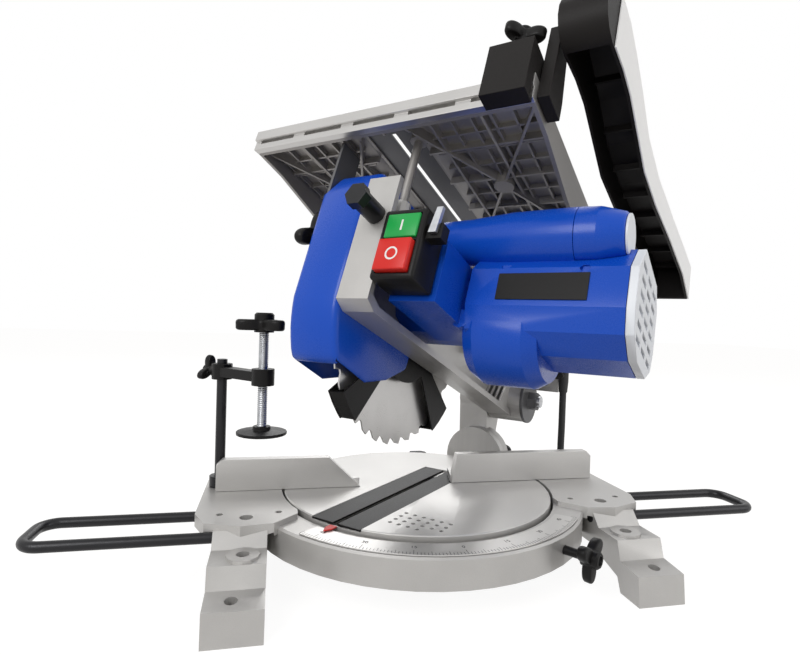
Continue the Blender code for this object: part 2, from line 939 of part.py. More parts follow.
def work_clamp():
    """Post, arm, screw, pad and knobs of the clamp that holds the work down."""
    post_frame = empty("clamp_post_frame", base_frame, (-post_x, post_y, 0.0))
    post = Form().cylinder(post_radius, table_height - wing_thickness, post_top)
    made = node("clamp_post", post, rod_look, post_frame)
    seat = table_height + gap
    join(made, Form().cylinder(post_seat_radius, seat, seat + post_seat_height))
    reach = Vector((post_x - screw_x, -screw_y - post_y))
    turn = math.degrees(math.atan2(reach.y, reach.x))
    span = reach.length
    arm_frame = empty("clamp_arm_frame", post_frame, (0.0, 0.0, 0.0), (0.0, 0.0, turn))
    outline = [
        (-post_hub_radius / 2, -arm_half_width),
        (span, -arm_half_width * 0.8),
        (span, arm_half_width * 0.8),
        (-post_hub_radius / 2, arm_half_width),
    ]
    thickness = arm_top - arm_bottom
    bar = Form().prism(outline, arm_bottom + thickness / 5, arm_top - thickness / 5)
    arm = node("clamp_arm", bar, black_look, arm_frame)
    join(arm, Form().cylinder(post_hub_radius, arm_bottom, arm_top, steps=round_steps // 2))
    join(arm, Form().cylinder(screw_hub_radius, arm_bottom, arm_top, centre=(span, 0.0), steps=round_steps // 2))
    join(arm, Form().cylinder(
        wing_knob_valley, -post_hub_radius - overrun, -post_radius, axis="x",
        centre=(0.0, (arm_bottom + arm_top) / 2),
    ))
    holes = Form().cylinder(post_radius + gap, arm_bottom - overrun, arm_top + overrun)
    holes.cylinder(screw_radius + gap, arm_bottom - overrun, arm_top + overrun, centre=(span, 0.0))
    holes.cylinder(
        wing_knob_stem + gap, -post_hub_radius - 2 * overrun, -post_radius, axis="x",
        centre=(0.0, (arm_bottom + arm_top) / 2),
    )
    cut(arm, holes)
    screw_frame = empty("clamp_screw_frame", arm_frame, (span, 0.0, 0.0))
    screw = Form().cylinder(screw_radius, screw_bottom, clamp_knob_base, steps=small_steps)
    screw_part = node("clamp_screw", screw, steel_look, screw_frame)
    grooves = thread_grooves()
    cut(screw_part, grooves)
    knob_base = clamp_knob_base + gap
    top = Form().prism(lobed(knob_tip, knob_valley), knob_base, knob_base + knob_thickness)
    top_part = node("clamp_knob", top, black_look, screw_frame)
    join(top_part, Form().cylinder(knob_hub_radius, knob_base, knob_base + knob_hub_height))
    pad = [
        (0.0, pad_bottom),
        (pad_radius, pad_bottom),
        (pad_radius, pad_bottom + pad_rim),
        (pad_boss_radius, pad_bottom + pad_rim * 1.5),
        (pad_boss_radius, screw_bottom - gap),
        (0.0, screw_bottom - gap),
    ]
    node("clamp_pad", Form().turned(pad, steps=round_steps * 4 // 5), black_look, screw_frame)
    wing_frame = empty(
        "clamp_wing_frame", arm_frame, (0.0, 0.0, (arm_bottom + arm_top) / 2), (0.0, -90.0, 0.0)
    )
    base = post_hub_radius + overrun + gap
    wing = Form().prism(
        lobed(wing_knob_tip, wing_knob_valley), base + wing_knob_thickness / 3, base + wing_knob_thickness * 4 / 3
    )
    wing_part = node("clamp_wing_knob", wing, black_look, wing_frame)
    join(wing_part, Form().cylinder(wing_knob_valley, base, base + wing_knob_reach + wing_knob_thickness / 2))
    join(wing_part, Form().cylinder(wing_knob_stem, post_radius + gap, base + wing_knob_thickness / 2))


def thread_grooves():
    """Rings cut round the clamp screw, as its thread."""
    form = Form()
    pitch = screw_radius * 1.9
    count = int((clamp_knob_base - screw_bottom) / pitch) - 2
    for i in range(count):
        z = screw_bottom + pitch * (i + 1)
        profile = [
            (screw_radius - screw_groove, z),
            (screw_radius + screw_groove, z - pitch / 3),
            (screw_radius + screw_groove, z + pitch / 3),
        ]
        form.turned(profile, steps=small_steps)
    return form


def turntable():
    """The round table with its blade trough and the arm that carries the head."""
    bottom = ledge_top + gap
    under = table_height - disc_thickness
    disc = [
        (0.0, under),
        (disc_skirt_inner, under),
        (disc_skirt_inner, bottom),
        (disc_radius, bottom),
        (disc_radius, table_height - ring_chamfer / 2),
        (disc_radius - ring_chamfer / 2, table_height),
        (0.0, table_height),
    ]
    made = node("turntable", Form().turned(disc, steps=big_steps), cast_look, turn_frame)
    half = trough_half_width + trough_wall
    trough = Form().box(
        (-half, -trough_front - trough_wall, trough_bottom), (half, trough_back + trough_wall, table_height - disc_thickness / 2)
    )
    join(made, trough)
    arm = Form().box(
        (-rear_arm_half, disc_skirt_inner + overrun / 2, bottom + gap),
        (rear_arm_half, rear_arm_back - ring_wall, table_height - ring_wall),
    )
    join(made, arm)
    boss = Form().cylinder(
        tilt_disc_radius, rear_boss_front, rear_arm_back - gap, axis="y", centre=(0.0, table_height), steps=round_steps
    )
    join(made, boss)
    inside = Form().box(
        (-trough_half_width, -trough_front, trough_bottom + trough_wall), (trough_half_width, trough_back, under + overrun)
    )
    cut(made, inside)
    slot = Form().box((-slot_half_width, -slot_front, ledge_top), (slot_half_width, slot_back, table_height + overrun))
    cut(made, slot)
    recess = Form().box(
        (-plate_half_width, -disc_radius - overrun, table_height - plate_recess),
        (plate_half_width, plate_back, table_height + overrun),
    )
    cut(made, recess)
    cut(made, dimple_form())
    bores = Form().cylinder(pivot_shank_radius + gap, trough_bottom - overrun, trough_bottom + trough_wall + overrun)
    bores.cylinder(
        tilt_bolt_radius + gap, rear_boss_front - overrun, rear_arm_back + overrun, axis="y", centre=(0.0, table_height)
    )
    cut(made, bores)
    return made


def dimple_form():
    """The anti-slip dimples to the right of the blade slot."""
    form = Form()
    for row in range(dimple_rows):
        for column in range(dimple_columns):
            centre = (dimple_first_x + dimple_pitch * column, -dimple_first_y + dimple_pitch * row)
            if math.hypot(*centre) < disc_radius - dimple_pitch:
                form.cylinder(dimple_radius, table_height - dimple_depth, table_height + overrun, centre=centre, steps=6)
    return form


def kerf_plate(side, name):
    """One half of the plate that the blade slot is cut in."""
    low = table_height - plate_recess + gap
    inner = side * plate_slot_half
    outer = side * (plate_half_width - gap)
    form = Form().box(
        (min(inner, outer), -plate_front + gap, low), (max(inner, outer), plate_back - gap, low + plate_thickness - gap)
    )
    return node(name, form, dark_cast_look, turn_frame)


def mitre_pointer():
    """The red pointer over the angle scale."""
    low = ring_top + scale_thickness + 3 * gap
    root = -disc_radius - gap
    outline = [
        (-pointer_half_width, root),
        (-pointer_half_width, root - pointer_length / 2),
        (0.0, root - pointer_length),
        (pointer_half_width, root - pointer_length / 2),
        (pointer_half_width, root),
    ]
    form = Form().prism(outline, low, low + pointer_thickness)
    return node("angle_pointer", form, red_look, turn_frame)


def pivot_bolt():
    """The bolt that the turntable turns on."""
    head_low = trough_bottom + trough_wall + gap
    form = Form().prism(circle(pivot_bolt_radius, 6), head_low, head_low + pivot_bolt_height)
    made = node("turntable_bolt", form, steel_look, base_frame)
    join(made, Form().cylinder(pivot_shank_radius, hub_bottom, head_low + pivot_bolt_height / 2))
    return made


def tilt_bracket():
    """The upright that tilts the head, with the lug of its hinge and the stop lug."""
    y0 = -rear_arm_back
    z0 = -table_height
    disc = Form().cylinder(tilt_disc_radius, gap, bracket_disc_back + y0, axis="y", steps=round_steps)
    made = node("tilt_bracket", disc, cast_look, tilt_frame)
    top = arc(lug_radius, -20, 200, 12, (pivot_y + y0, pivot_z + z0))
    outline = [
        (overrun, -tilt_disc_radius / 2),
        (bracket_column_back, -tilt_disc_radius / 2),
        (bracket_column_back, tilt_disc_radius / 3),
    ] + top
    column = Form().prism(outline, -bracket_left, bracket_right, axis="x")
    join(made, column)
    lug_back = stop_lug_y + y0
    lug_low = lug_back - stop_lug_thickness
    shelf_low = pivot_z + z0 + stop_lug_half
    shelf_high = pivot_z + z0 + 3 * stop_lug_half
    join(made, Form().box(
        (-bracket_left + overrun, pivot_y + y0, shelf_low - overrun), (bracket_right - overrun / 4, lug_back, shelf_high)
    ))
    join(made, Form().box(
        (bracket_right - overrun, lug_low, shelf_low), (stop_lug_right + stop_lug_half, lug_back - overrun / 8, shelf_high - overrun / 4)
    ))
    centre = (stop_lug_right + stop_lug_half, stop_height + z0)
    join(made, Form().cylinder(
        stop_lug_half, lug_low - overrun / 8, lug_back - overrun / 4, axis="y", centre=centre
    ))
    bores = Form().cylinder(
        pivot_shaft_radius + gap, -bracket_left - overrun, bracket_right + overrun, axis="x", centre=(pivot_y + y0, pivot_z + z0)
    )
    bores.cylinder(lock_stem_radius + gap, lug_low - overrun, lug_back + overrun, axis="y", centre=centre)
    bores.cylinder(tilt_bolt_radius + gap, -overrun, bracket_column_back + overrun, axis="y")
    cut(made, bores)
    return made


def pivot_shaft():
    """The shaft of the head's hinge, with its head at the left."""
    y0 = pivot_y - rear_arm_back
    z0 = pivot_z - table_height
    right = barrel_right + barrel_cap + barrel_nut_length + gap + overrun
    form = Form().cylinder(pivot_shaft_radius, -bracket_left - ring_wall, right, axis="x", centre=(y0, z0))
    made = node("hinge_shaft", form, steel_look, tilt_frame)
    join(made, Form().cylinder(
        pivot_shaft_radius * 1.5, -bracket_left - ring_wall - gap, -bracket_left - gap, axis="x", centre=(y0, z0)
    ))
    return made


def tilt_bolt():
    """The bolt of the tilt joint and its lock knob at the back."""
    frame = empty("tilt_knob_frame", turn_frame, (0.0, 0.0, table_height), (-90.0, 0.0, 0.0))
    back = rear_arm_back + bracket_column_back + gap
    form = Form().prism(
        lobed(knob_tip, knob_valley), back + tilt_knob_reach, back + tilt_knob_reach + knob_thickness
    )
    made = node("tilt_lock_knob", form, black_look, frame)
    join(made, Form().cylinder(knob_hub_radius, back, back + tilt_knob_reach + knob_hub_height))
    join(made, Form().cylinder(tilt_bolt_radius, rear_boss_front + gap, back + tilt_knob_reach))
    return made


def stop_knob():
    """The screw that sets how far the head goes down."""
    frame = empty(
        "stop_knob_frame",
        tilt_frame,
        (stop_lug_right + stop_lug_half, 0.0, stop_height - table_height),
        (90.0, 0.0, 0.0),
    )
    lug_front = -(stop_lug_y - rear_arm_back - stop_lug_thickness)
    return knob(
        "depth_stop_knob", black_look, frame, lug_front - stop_lug_thickness - overrun, lock_stem_radius,
        lug_front + stop_knob_reach, stop_knob_scale,
    )


def head_arm():
    """The cast arm: a web beside the blade housing, its flanges and the hinge barrel."""
    web_right = arm_left + arm_web
    profile = [
        (-arm_front, arm_front_top),
        (-arm_front, -arm_bottom_z * 0.75),
        (-arm_front + arm_bottom_z / 2, -arm_bottom_z),
        (0.0, -arm_bottom_z),
        (barrel_radius * 0.7, 0.0),
        (0.0, barrel_radius * 0.9),
        (-arm_mid_y, arm_mid_z),
        (-arm_front + 2 * arm_front_width, arm_front_top),
    ]
    made = node("head_arm", Form().prism(profile, arm_left, web_right, axis="x"), cast_look, head_frame)
    front = [
        (-arm_front, arm_front_top),
        (-arm_front, -arm_bottom_z * 0.75),
        (-arm_front + arm_bottom_z / 2, -arm_bottom_z),
        (-barrel_radius / 2, -arm_bottom_z),
        (-barrel_radius / 2, -arm_bottom_z + arm_bottom_wall),
        (-arm_front + arm_bottom_z / 2 + arm_front_wall, -arm_bottom_z + arm_bottom_wall),
        (-arm_front + arm_front_wall, -arm_bottom_z / 2),
        (-arm_front + arm_front_wall, arm_front_top),
    ]
    join(made, Form().prism(front, arm_left, arm_left + arm_front_width, axis="x"))
    barrel = Form().cylinder(barrel_radius, arm_left, barrel_right, axis="x", steps=round_steps)
    join(made, barrel)
    fins = Form()
    for i in range(barrel_fin_count):
        x = barrel_fin_first + barrel_fin_pitch * i
        outline = [
            (-barrel_radius * 1.9, -arm_bottom_z + arm_bottom_wall / 2),
            (-barrel_radius * 0.4, -arm_bottom_z + arm_bottom_wall / 2),
            (0.0, barrel_radius * 1.12),
            (-barrel_radius * 1.0, barrel_radius * 1.0),
        ]
        fins.prism(outline, x, x + barrel_fin, axis="x")
    join(made, fins)
    sleeves = Form()
    for y in (guide_front_y, guide_rear_y):
        low = arm_mid_z * 0.4
        high = arm_front_top - arm_front_wall if y == guide_front_y else arm_mid_z
        sleeves.cylinder(guide_sleeve_radius, low, high, centre=(guide_x, -y))
        sleeves.box(
            (arm_left + arm_web / 2, -y - arm_web / 2, low), (guide_x, -y + arm_web / 2, high)
        )
    join(made, sleeves)
    bearing = Form().cylinder(
        bearing_radius, arm_left - bearing_reach, web_right, axis="x", centre=(-blade_y, blade_z), steps=round_steps
    )
    join(made, bearing)
    bores = Form().cylinder(pivot_shaft_radius + gap, arm_left - overrun, barrel_right + overrun, axis="x")
    bores.cylinder(
        arbor_radius + gap, arm_left - bearing_reach - overrun, web_right + overrun, axis="x", centre=(-blade_y, blade_z)
    )
    for y in (guide_front_y, guide_rear_y):
        bores.cylinder(guide_radius + gap, 0.0, arm_front_top + overrun, centre=(guide_x, -y))
    bores.cylinder(
        arm_hole_radius, arm_left - overrun, web_right + overrun, axis="x",
        centre=(-arm_front + arm_front_width, -arm_bottom_z * 0.4),
    )
    cut(made, bores)
    return made


def barrel_cap_part():
    """The disc that closes the hinge barrel's end, with the hinge nut."""
    low = barrel_right + gap
    made = node(
        "hinge_end_cap",
        Form().cylinder(barrel_cap_radius, low, low + barrel_cap, axis="x", steps=round_steps),
        dark_cast_look,
        head_frame,
    )
    end = low + barrel_cap + barrel_nut_length
    join(made, Form().prism(circle(barrel_nut_radius, 6), low + barrel_cap / 2, end, axis="x"))
    cut(made, Form().cylinder(pivot_shaft_radius + gap, low - overrun, end + overrun, axis="x"))
    return made


def stop_post():
    """The grey post with a hexagon end on the arm's front flange."""
    front = -arm_front - gap
    form = Form().cylinder(
        stop_post_radius, front - stop_post_length, front, axis="y", centre=(stop_post_x, stop_post_z)
    )
    made = node("arm_stop_post", form, dark_cast_look, head_frame)
    head = Form().prism(
        circle(stop_post_hex, 6, (stop_post_x, stop_post_z)), front - stop_post_length - stop_post_radius / 2,
        front - stop_post_length + stop_post_radius / 2, axis="y",
    )
    join(made, head)
    return made


def drum_outline(inset):
    """The blade housing seen from the side, about the blade's centre."""
    front = drum_front - inset
    top = drum_top - inset
    back = drum_back - inset
    nose = math.degrees(math.acos(0.95))
    points = arc(front, 180 + nose / 2, 214, 6)
    points += [
        (-drum_nose_back, -drum_front * 0.6 + inset),
        (-drum_nose_back * 0.42, -drum_front * 0.5 + inset),
        (drum_nose_back * 0.1, -drum_front * 0.34 + inset),
        (drum_nose_back * 0.14, -drum_nose_back / 8 + inset),
        (back, -drum_nose_back / 8 + inset),
    ]
    points += arc(back, 4, 58, 6)
    points += [(back * math.cos(math.radians(64)), top), (-front + front * 0.14, top), (-front, drum_shoulder - inset)]
    return points


def blade_housing():
    """The blue shell over the upper half of the blade."""
    def placed(outline):
        return [(u - blade_y, v + blade_z) for u, v in outline]

    right = arm_left - gap
    outer = Form().prism(placed(drum_outline(0.0)), -drum_left, right, axis="x")
    made = node("blade_housing", outer, blue_look, head_frame)
    bevel(made, drum_edge, 3, 50)
    inner_left = -drum_left + drum_wall
    inner_right = right - drum_right_wall
    cut(made, Form().prism(placed(drum_outline(drum_wall)), inner_left, inner_right, axis="x"))
    mouth = [
        (-drum_front * 0.79, -drum_front),
        (drum_nose_back * 0.3, -drum_front),
        (drum_back - 2 * drum_wall, -drum_nose_back / 2),
        (drum_back - 2 * drum_wall, drum_nose_back / 8),
        (-drum_nose_back * 0.3, drum_nose_back / 8),
        (-drum_front * 0.79, -drum_nose_back),
    ]
    fit = drum_wall / 6
    cut(made, Form().prism(placed(mouth), inner_left + fit, inner_right - fit / 4, axis="x"))
    slot = Form().box(
        (-drum_slot_half, -blade_y - drum_front * 0.55, blade_z + drum_top - 2 * drum_wall),
        (drum_slot_half, -blade_y + drum_front * 0.55, blade_z + drum_top + overrun),
    )
    cut(made, slot)
    holes = Form().cylinder(
        lock_stem_radius + gap, -drum_left - overrun, -drum_left + drum_wall + overrun, axis="x",
        centre=(-table_bracket_y, table_knob_z),
    )
    holes.cylinder(
        bearing_radius + 2 * gap, inner_right - overrun, right + overrun, axis="x", centre=(-blade_y, blade_z), steps=round_steps
    )
    cut(made, holes)
    return made


def blade():
    """The saw blade with its teeth."""
    points = []
    gullet = blade_radius - tooth_depth
    for i in range(tooth_count):
        start = math.tau * i / tooth_count
        pitch = math.tau / tooth_count
        for share, radius in ((0.0, gullet), (0.18, gullet), (0.52, blade_radius - tooth_depth * 0.22), (0.86, blade_radius)):
            angle = start + pitch * share
            points.append((radius * math.cos(angle), radius * math.sin(angle)))
    half = blade_thickness / 2
    made = node("saw_blade", Form().prism(points, -half, half, axis="x"), blade_look, spindle_frame)
    cut(made, Form().cylinder(arbor_radius + gap, -overrun, overrun, axis="x"))
    return made


def arbor():
    """The shaft, flanges and bolt that hold the blade."""
    half = blade_thickness / 2 + gap
    right = arm_left - bearing_reach - gap
    profile = [
        (0.0, -half - flange_thickness - arbor_bolt_length),
        (arbor_bolt_radius, -half - flange_thickness - arbor_bolt_length),
        (arbor_bolt_radius, -half - flange_thickness),
        (flange_radius, -half - flange_thickness),
        (flange_radius, -half),
        (arbor_radius, -half),
        (arbor_radius, half),
        (flange_radius, half),
        (flange_radius, half + flange_thickness),
        (flange_radius * 0.6, right),
        (arbor_radius, right),
        (arbor_radius, arm_left + arm_web),
        (0.0, arm_left + arm_web),
    ]
    return node("blade_arbor", Form().turned(profile, axis="x"), steel_look, spindle_frame)


def lower_guard():
    """The swinging guard: two plates beside the blade, joined by a rim, open between its two arms."""
    def radius_at(angle_deg):
        if guard_window_start_deg <= angle_deg <= guard_window_end_deg:
            return guard_window_radius
        if guard_start_deg <= angle_deg <= guard_end_deg:
            return guard_outer
        return guard_hub_radius

    marks = [guard_start_deg, guard_window_start_deg, guard_window_end_deg, guard_end_deg]
    angles = set(range(0, 360, 15)) | set(range(guard_start_deg, guard_end_deg, guard_step_deg))
    outline = []
    for angle in sorted(angles | set(marks)):
        turn = math.radians(angle)
        near = radius_at(angle - guard_step_deg / 2)
        here = radius_at(angle)
        after = radius_at(angle + guard_step_deg / 2)
        for radius in dict.fromkeys((near, here, after)) if angle in marks else (here,):
            outline.append((radius * math.cos(turn), radius * math.sin(turn)))
    half = guard_half_width
    made = node("lower_guard", Form().prism(outline, -half, -half + guard_plate, axis="x"), black_look, guard_frame)
    join(made, Form().prism(outline, half - guard_plate, half, axis="x"))
    rims = Form()
    inner = guard_outer - guard_rim
    inset = guard_plate / 3
    for start, end in (
        (guard_start_deg, guard_window_start_deg),
        (guard_window_end_deg, guard_end_deg),
    ):
        steps = round((end - start) / guard_step_deg)
        outer = guard_outer - guard_rim / 8
        sector = arc(outer, start + 0.4, end - 0.4, steps) + arc(inner, end - 0.4, start + 0.4, steps)
        rims.prism(sector, -half + inset, half - inset, axis="x")
    join(made, rims)
    cut(made, Form().cylinder(bearing_radius + 2 * gap, 0.0, half + overrun, axis="x", steps=round_steps))
    cut(made, Form().cylinder(flange_radius + 2 * gap, -half - overrun, 0.0, axis="x", steps=round_steps))
    return made


def motor_outline(grow=0.0):
    """The motor's cross-section, a block with unequal chamfers."""
    d = motor_half_depth + grow
    h = motor_half_height + grow
    shape = (
        (-1.0, 0.45), (-1.0, -0.30), (-0.86, -0.72), (-0.42, -1.0), (0.42, -1.0), (0.86, -0.72),
        (1.0, -0.30), (1.0, 0.55), (0.70, 1.0), (-0.60, 1.0),
    )
    return [(-motor_y + d * u, motor_z + h * v) for u, v in shape]


def motor_housing():
    """Gearbox, motor body and the handle-shaped bulge, as one moulding."""
    body = Form().prism(motor_outline(), motor_left, motor_right, axis="x")
    made = node("motor_housing", body, blue_look, head_frame)
    left = arm_left + arm_web + gap
    neck = [(-gearbox_y + (u + motor_y) * 0.82, motor_z + (v - motor_z) * 0.62 + gap) for u, v in motor_outline()]
    join(made, Form().prism(neck, left, motor_left + overrun, axis="x"))
    shoulder = overrun * 3
    ring = Form().turned(
        [
            (0.0, flange_left), (flange_ring_radius * 0.86, flange_left),
            (flange_ring_radius, flange_left + shoulder), (flange_ring_radius, flange_right - shoulder),
            (flange_ring_radius * 0.86, flange_right), (0.0, flange_right),
        ],
        axis="x", centre=(-motor_y, 0.0),
    )
    join(made, ring)
    pod = Form().box(
        (switch_left + gap, -switch_face + switch_depth + gap, switch_bottom - overrun),
        (switch_right + overrun, -motor_y, switch_top * 0.8),
    )
    join(made, pod)
    join(made, handle_form())
    bosses = Form()
    for x, z in ((switch_left - vent_boss_radius, handle_radius * 0.8), (switch_right + vent_boss_radius, -vent_boss_radius)):
        bosses.cylinder(vent_boss_radius * 2, -motor_y - gearbox_half_depth - overrun, -motor_y, axis="y", centre=(x, z))
    join(made, bosses)
    recess = Form()
    for x, z in (
        (label_left + overrun, label_top + 2 * vent_boss_radius),
        (handle_seam + overrun * 3, label_top + vent_boss_radius),
    ):
        recess.cylinder(
            screw_recess_radius, -motor_y - motor_half_depth - handle_radius, -motor_y - motor_half_depth + overrun,
            axis="y", centre=(x, z), steps=small_steps // 2,
        )
    cut(made, recess)
    return made


def handle_form():
    """A turned capsule with a narrow left neck, cut off at the seam."""
    profile = [
        (0.0, handle_left),
        (handle_neck_radius * 0.55, handle_left + overrun * 0.3),
        (handle_neck_radius * 0.92, handle_left + overrun * 1.6),
        (handle_neck_radius, handle_left + overrun * 4),
        (handle_neck_radius * 1.08, handle_left + (handle_seam - handle_left) * 0.4),
        (handle_radius * 0.98, handle_left + (handle_seam - handle_left) * 0.65),
        (handle_radius, handle_seam),
        (0.0, handle_seam),
    ]
    return Form().turned(profile, axis="x", centre=(-handle_y, handle_z))


def handle_cap():
    """The blue shoulder at the handle's right end, and its pale disc."""
    low = handle_seam + gap
    profile = [
        (0.0, low),
        (handle_radius, low),
        (handle_radius * 0.97, low + (handle_end - low) * 0.45),
        (handle_end_radius + overrun / 2, handle_end - overrun / 2),
        (handle_end_radius, handle_end),
        (0.0, handle_end),
    ]
    made = node("handle_shoulder", Form().turned(profile, axis="x", centre=(-handle_y, handle_z)), blue_look, head_frame)
    cut(made, Form().prism(motor_outline(gap), low - overrun, motor_right + overrun, axis="x"))
    disc = Form().cylinder(
        handle_end_radius, handle_end + gap, handle_end + gap + label_thickness * 2, axis="x",
        centre=(-handle_y, handle_z), steps=round_steps,
    )
    disc_part = node("handle_end_disc", disc, white_look, head_frame)
    cut(disc_part, Form().prism(motor_outline(gap), low - overrun, motor_right + overrun, axis="x"))
    return made


def motor_end_cap():
    """The pale end cover with its air slots."""
    low = motor_right + gap
    made = node("motor_end_grille", Form().prism(motor_outline(), low, low + end_cap_thickness, axis="x"), white_look, head_frame)
    slots = Form()
    for column in range(grille_columns):
        for row in range(grille_slots):
            y = -motor_y + (column - (grille_columns - 1) / 2) * grille_slot_width * 1.35
            z = motor_z + (row - (grille_slots - 1) / 2) * grille_slot_height * 2.6
            slots.box(
                (low + end_cap_thickness / 2, y - grille_slot_width / 2, z - grille_slot_height / 2),
                (low + end_cap_thickness + overrun, y + grille_slot_width / 2, z + grille_slot_height / 2),
            )
    cut(made, slots)
    return made


def rating_plate():
    """The blank black plate on the motor's front."""
    front = -motor_y - motor_half_depth - gap
    form = Form().box((label_left, front - label_thickness, label_bottom), (label_right, front, label_top))
    return node("blank_plate", form, black_look, head_frame)


def switch():
    """The switch box with its two push buttons and the lug of the small lever beside it."""
    front = -switch_face
    box = Form().box((switch_left, front, switch_bottom), (switch_right, front + switch_depth, switch_top))
    made = node("switch_box", box, black_look, head_frame)
    bevel(made, switch_edge, 2)
    low = switch_bottom + button_margin
    high = switch_top - button_margin
    left = switch_left + button_margin
    right = switch_right - button_margin
    lug = Form().box(
        (switch_right - switch_edge / 2, front + lever_lug_front, lever_z - lever_width),
        (lever_x + lever_width, front + lever_lug_front + lever_lug_depth, lever_z + lever_width),
    )
    join(made, lug)
    spans = {"stop_button": (low, low + button_split), "start_button": (low + button_split + button_gap, high)}
    wells = Form()
    for bottom, top in spans.values():
        wells.box((left, front - overrun, bottom), (right, front + button_depth, top))
    wells.cylinder(
        lever_pin_radius + gap, front, front + switch_depth, axis="y", centre=(lever_x, lever_z)
    )
    cut(made, wells)
    looks = {"stop_button": (red_look, red_proud), "start_button": (green_look, green_proud)}
    for name, (bottom, top) in spans.items():
        look, proud = looks[name]
        fit = 2 * gap
        form = Form().box((left + fit, front - proud, bottom + fit), (right - fit, front + button_depth / 2, top - fit))
        bevel(node(name, form, look, head_frame), switch_edge / 3, 2)
    return made


def release_lever():
    """The small pale lever at the switch's top right."""
    front = lever_lug_front - gap
    frame = empty("lever_frame", head_frame, (lever_x, -switch_face, lever_z))
    half = lever_width / 2
    outline = [(-half, -half), (half, -half), (half * 1.6, lever_length), (0.0, lever_length)]
    form = Form().prism(outline, front - lever_thickness, front, axis="y")
    made = node("release_lever", form, white_look, frame)
    join(made, Form().cylinder(
        lever_pin_radius, front - lever_thickness / 2, lever_lug_front + lever_lug_depth, axis="y"
    ))
    return made


def table_top_part():
    """The cast upper table: plate, skirts, ribs and guide posts, in the table's frame."""
    half = table_half_width
    back = table_depth
    front = table_rail_depth + gap
    edge = []
    for i in range(side_skirt_steps + 1):
        share = i / side_skirt_steps
        drop = table_skirt + side_skirt_drop * math.sin(math.pi * share) ** 2
        edge.append((front + (back - front) * share, -drop))
    body = Form().prism(edge + [(back, 0.0), (front, 0.0)], -half, half, axis="x")
    made = node("upper_table", body, cast_look, table_frame)
    wall = table_skirt_wall
    hollow = Form().box(
        (-half + wall, front + wall, -table_skirt * 3), (half - wall, back - wall, -table_plate)
    )
    cut(made, hollow)
    for form in rib_forms(front, back):
        join(made, form)
    centre = table_slot_centre()
    tray = Form().box(
        (-table_slot_half, centre - table_slot_front, -rib_height * 2),
        (table_slot_half, centre + table_slot_back, -table_plate + gap),
    )
    cut(made, tray)
    opening = table_slot_half - insert_ledge
    slot = Form().box(
        (-opening, centre - table_slot_front, -table_skirt), (opening, centre + table_slot_back, overrun)
    )
    cut(made, slot)
    ledge = Form().box(
        (-table_slot_half, centre - table_slot_front - insert_ledge, -insert_thickness),
        (table_slot_half, centre + table_slot_back + insert_ledge, overrun),
    )
    cut(made, ledge)
    for y in (guide_front_y, guide_rear_y):
        centre_here = (guide_x, table_front - y)
        post = Form().cylinder(guide_radius, -guide_length - table_plate, -table_plate * 0.75, centre=centre_here)
        post.cylinder(guide_sleeve_radius, -rib_height * 0.8, -table_plate * 0.8, centre=centre_here)
        join(made, post)
    return made


def table_slot_centre():
    """The blade centre's place along the table."""
    return table_front - blade_y


def table_rail():
    """The front rail with its lip and clamping slot."""
    half = table_half_width
    profile = [
        (0.0, 0.0),
        (table_rail_depth, 0.0),
        (table_rail_depth, -table_rail_height),
        (rail_lip, -table_rail_height),
        (rail_lip, -table_rail_height * 0.55),
        (0.0, -table_rail_height * 0.5),
    ]
    made = node("table_rail", Form().prism(profile, -half, half, axis="x"), cast_look, table_frame)
    slots = Form()
    pitch = 2 * half / rail_slot_count
    for i in range(rail_slot_count):
        slots.box(
            (-half + pitch * (i + 0.12), -overrun, -table_rail_height * 0.60 - rail_slot_height / 2),
            (-half + pitch * (i + 0.88), rail_lip + rail_slot_depth, -table_rail_height * 0.60 + rail_slot_height / 2),
        )
    cut(made, slots)
    return made


def table_insert():
    """The plate round the blade in the upper table."""
    centre = table_slot_centre()
    fit = 2 * gap
    form = Form().box(
        (-table_slot_half + fit, centre - table_slot_front - insert_ledge + fit, -insert_thickness + gap),
        (table_slot_half - fit, centre + table_slot_back + insert_ledge - fit, 0.0),
    )
    made = node("table_insert", form, dark_cast_look, table_frame)
    slot = Form().box(
        (-insert_slot_half, centre - table_slot_front + insert_ledge * 3, -insert_thickness - overrun),
        (insert_slot_half, centre + table_slot_back - insert_ledge * 3, overrun),
    )
    cut(made, slot)
    return made


def table_bracket():
    """The slotted strap that the height knob clamps, left of the blade housing."""
    right = -drum_left - gap
    left = right - table_bracket_thickness
    y = table_front - table_bracket_y
    low = table_bracket_bottom - table_top
    half = table_bracket_width / 2
    form = Form().box((left, y - half, low), (right, y + half, -rib_height * 1.3 - gap))
    made = node("height_strap", form, dark_cast_look, table_frame)
    centre = table_knob_z - table_top
    slot = Form().box(
        (left - overrun, y - lock_stem_radius - gap, centre - overrun * 2),
        (right + overrun, y + lock_stem_radius + gap, centre + overrun * 12),
    )
    cut(made, slot)
    return made


def height_knob():
    """The lobed knob that clamps the upper table's height."""
    frame = empty(
        "height_knob_frame", head_frame, (0.0, -table_bracket_y, table_knob_z), (0.0, -90.0, 0.0)
    )
    base = drum_left + table_bracket_thickness + 2 * gap
    form = Form().prism(
        lobed(knob_tip, knob_valley), base + knob_thickness / 2, base + knob_thickness * 1.5
    )
    made = node("height_lock_knob", form, black_look, frame)
    join(made, Form().cylinder(knob_hub_radius, base, base + knob_hub_height))
    join(made, Form().cylinder(lock_stem_radius, drum_left - drum_wall - overrun, base + knob_thickness))
    return made


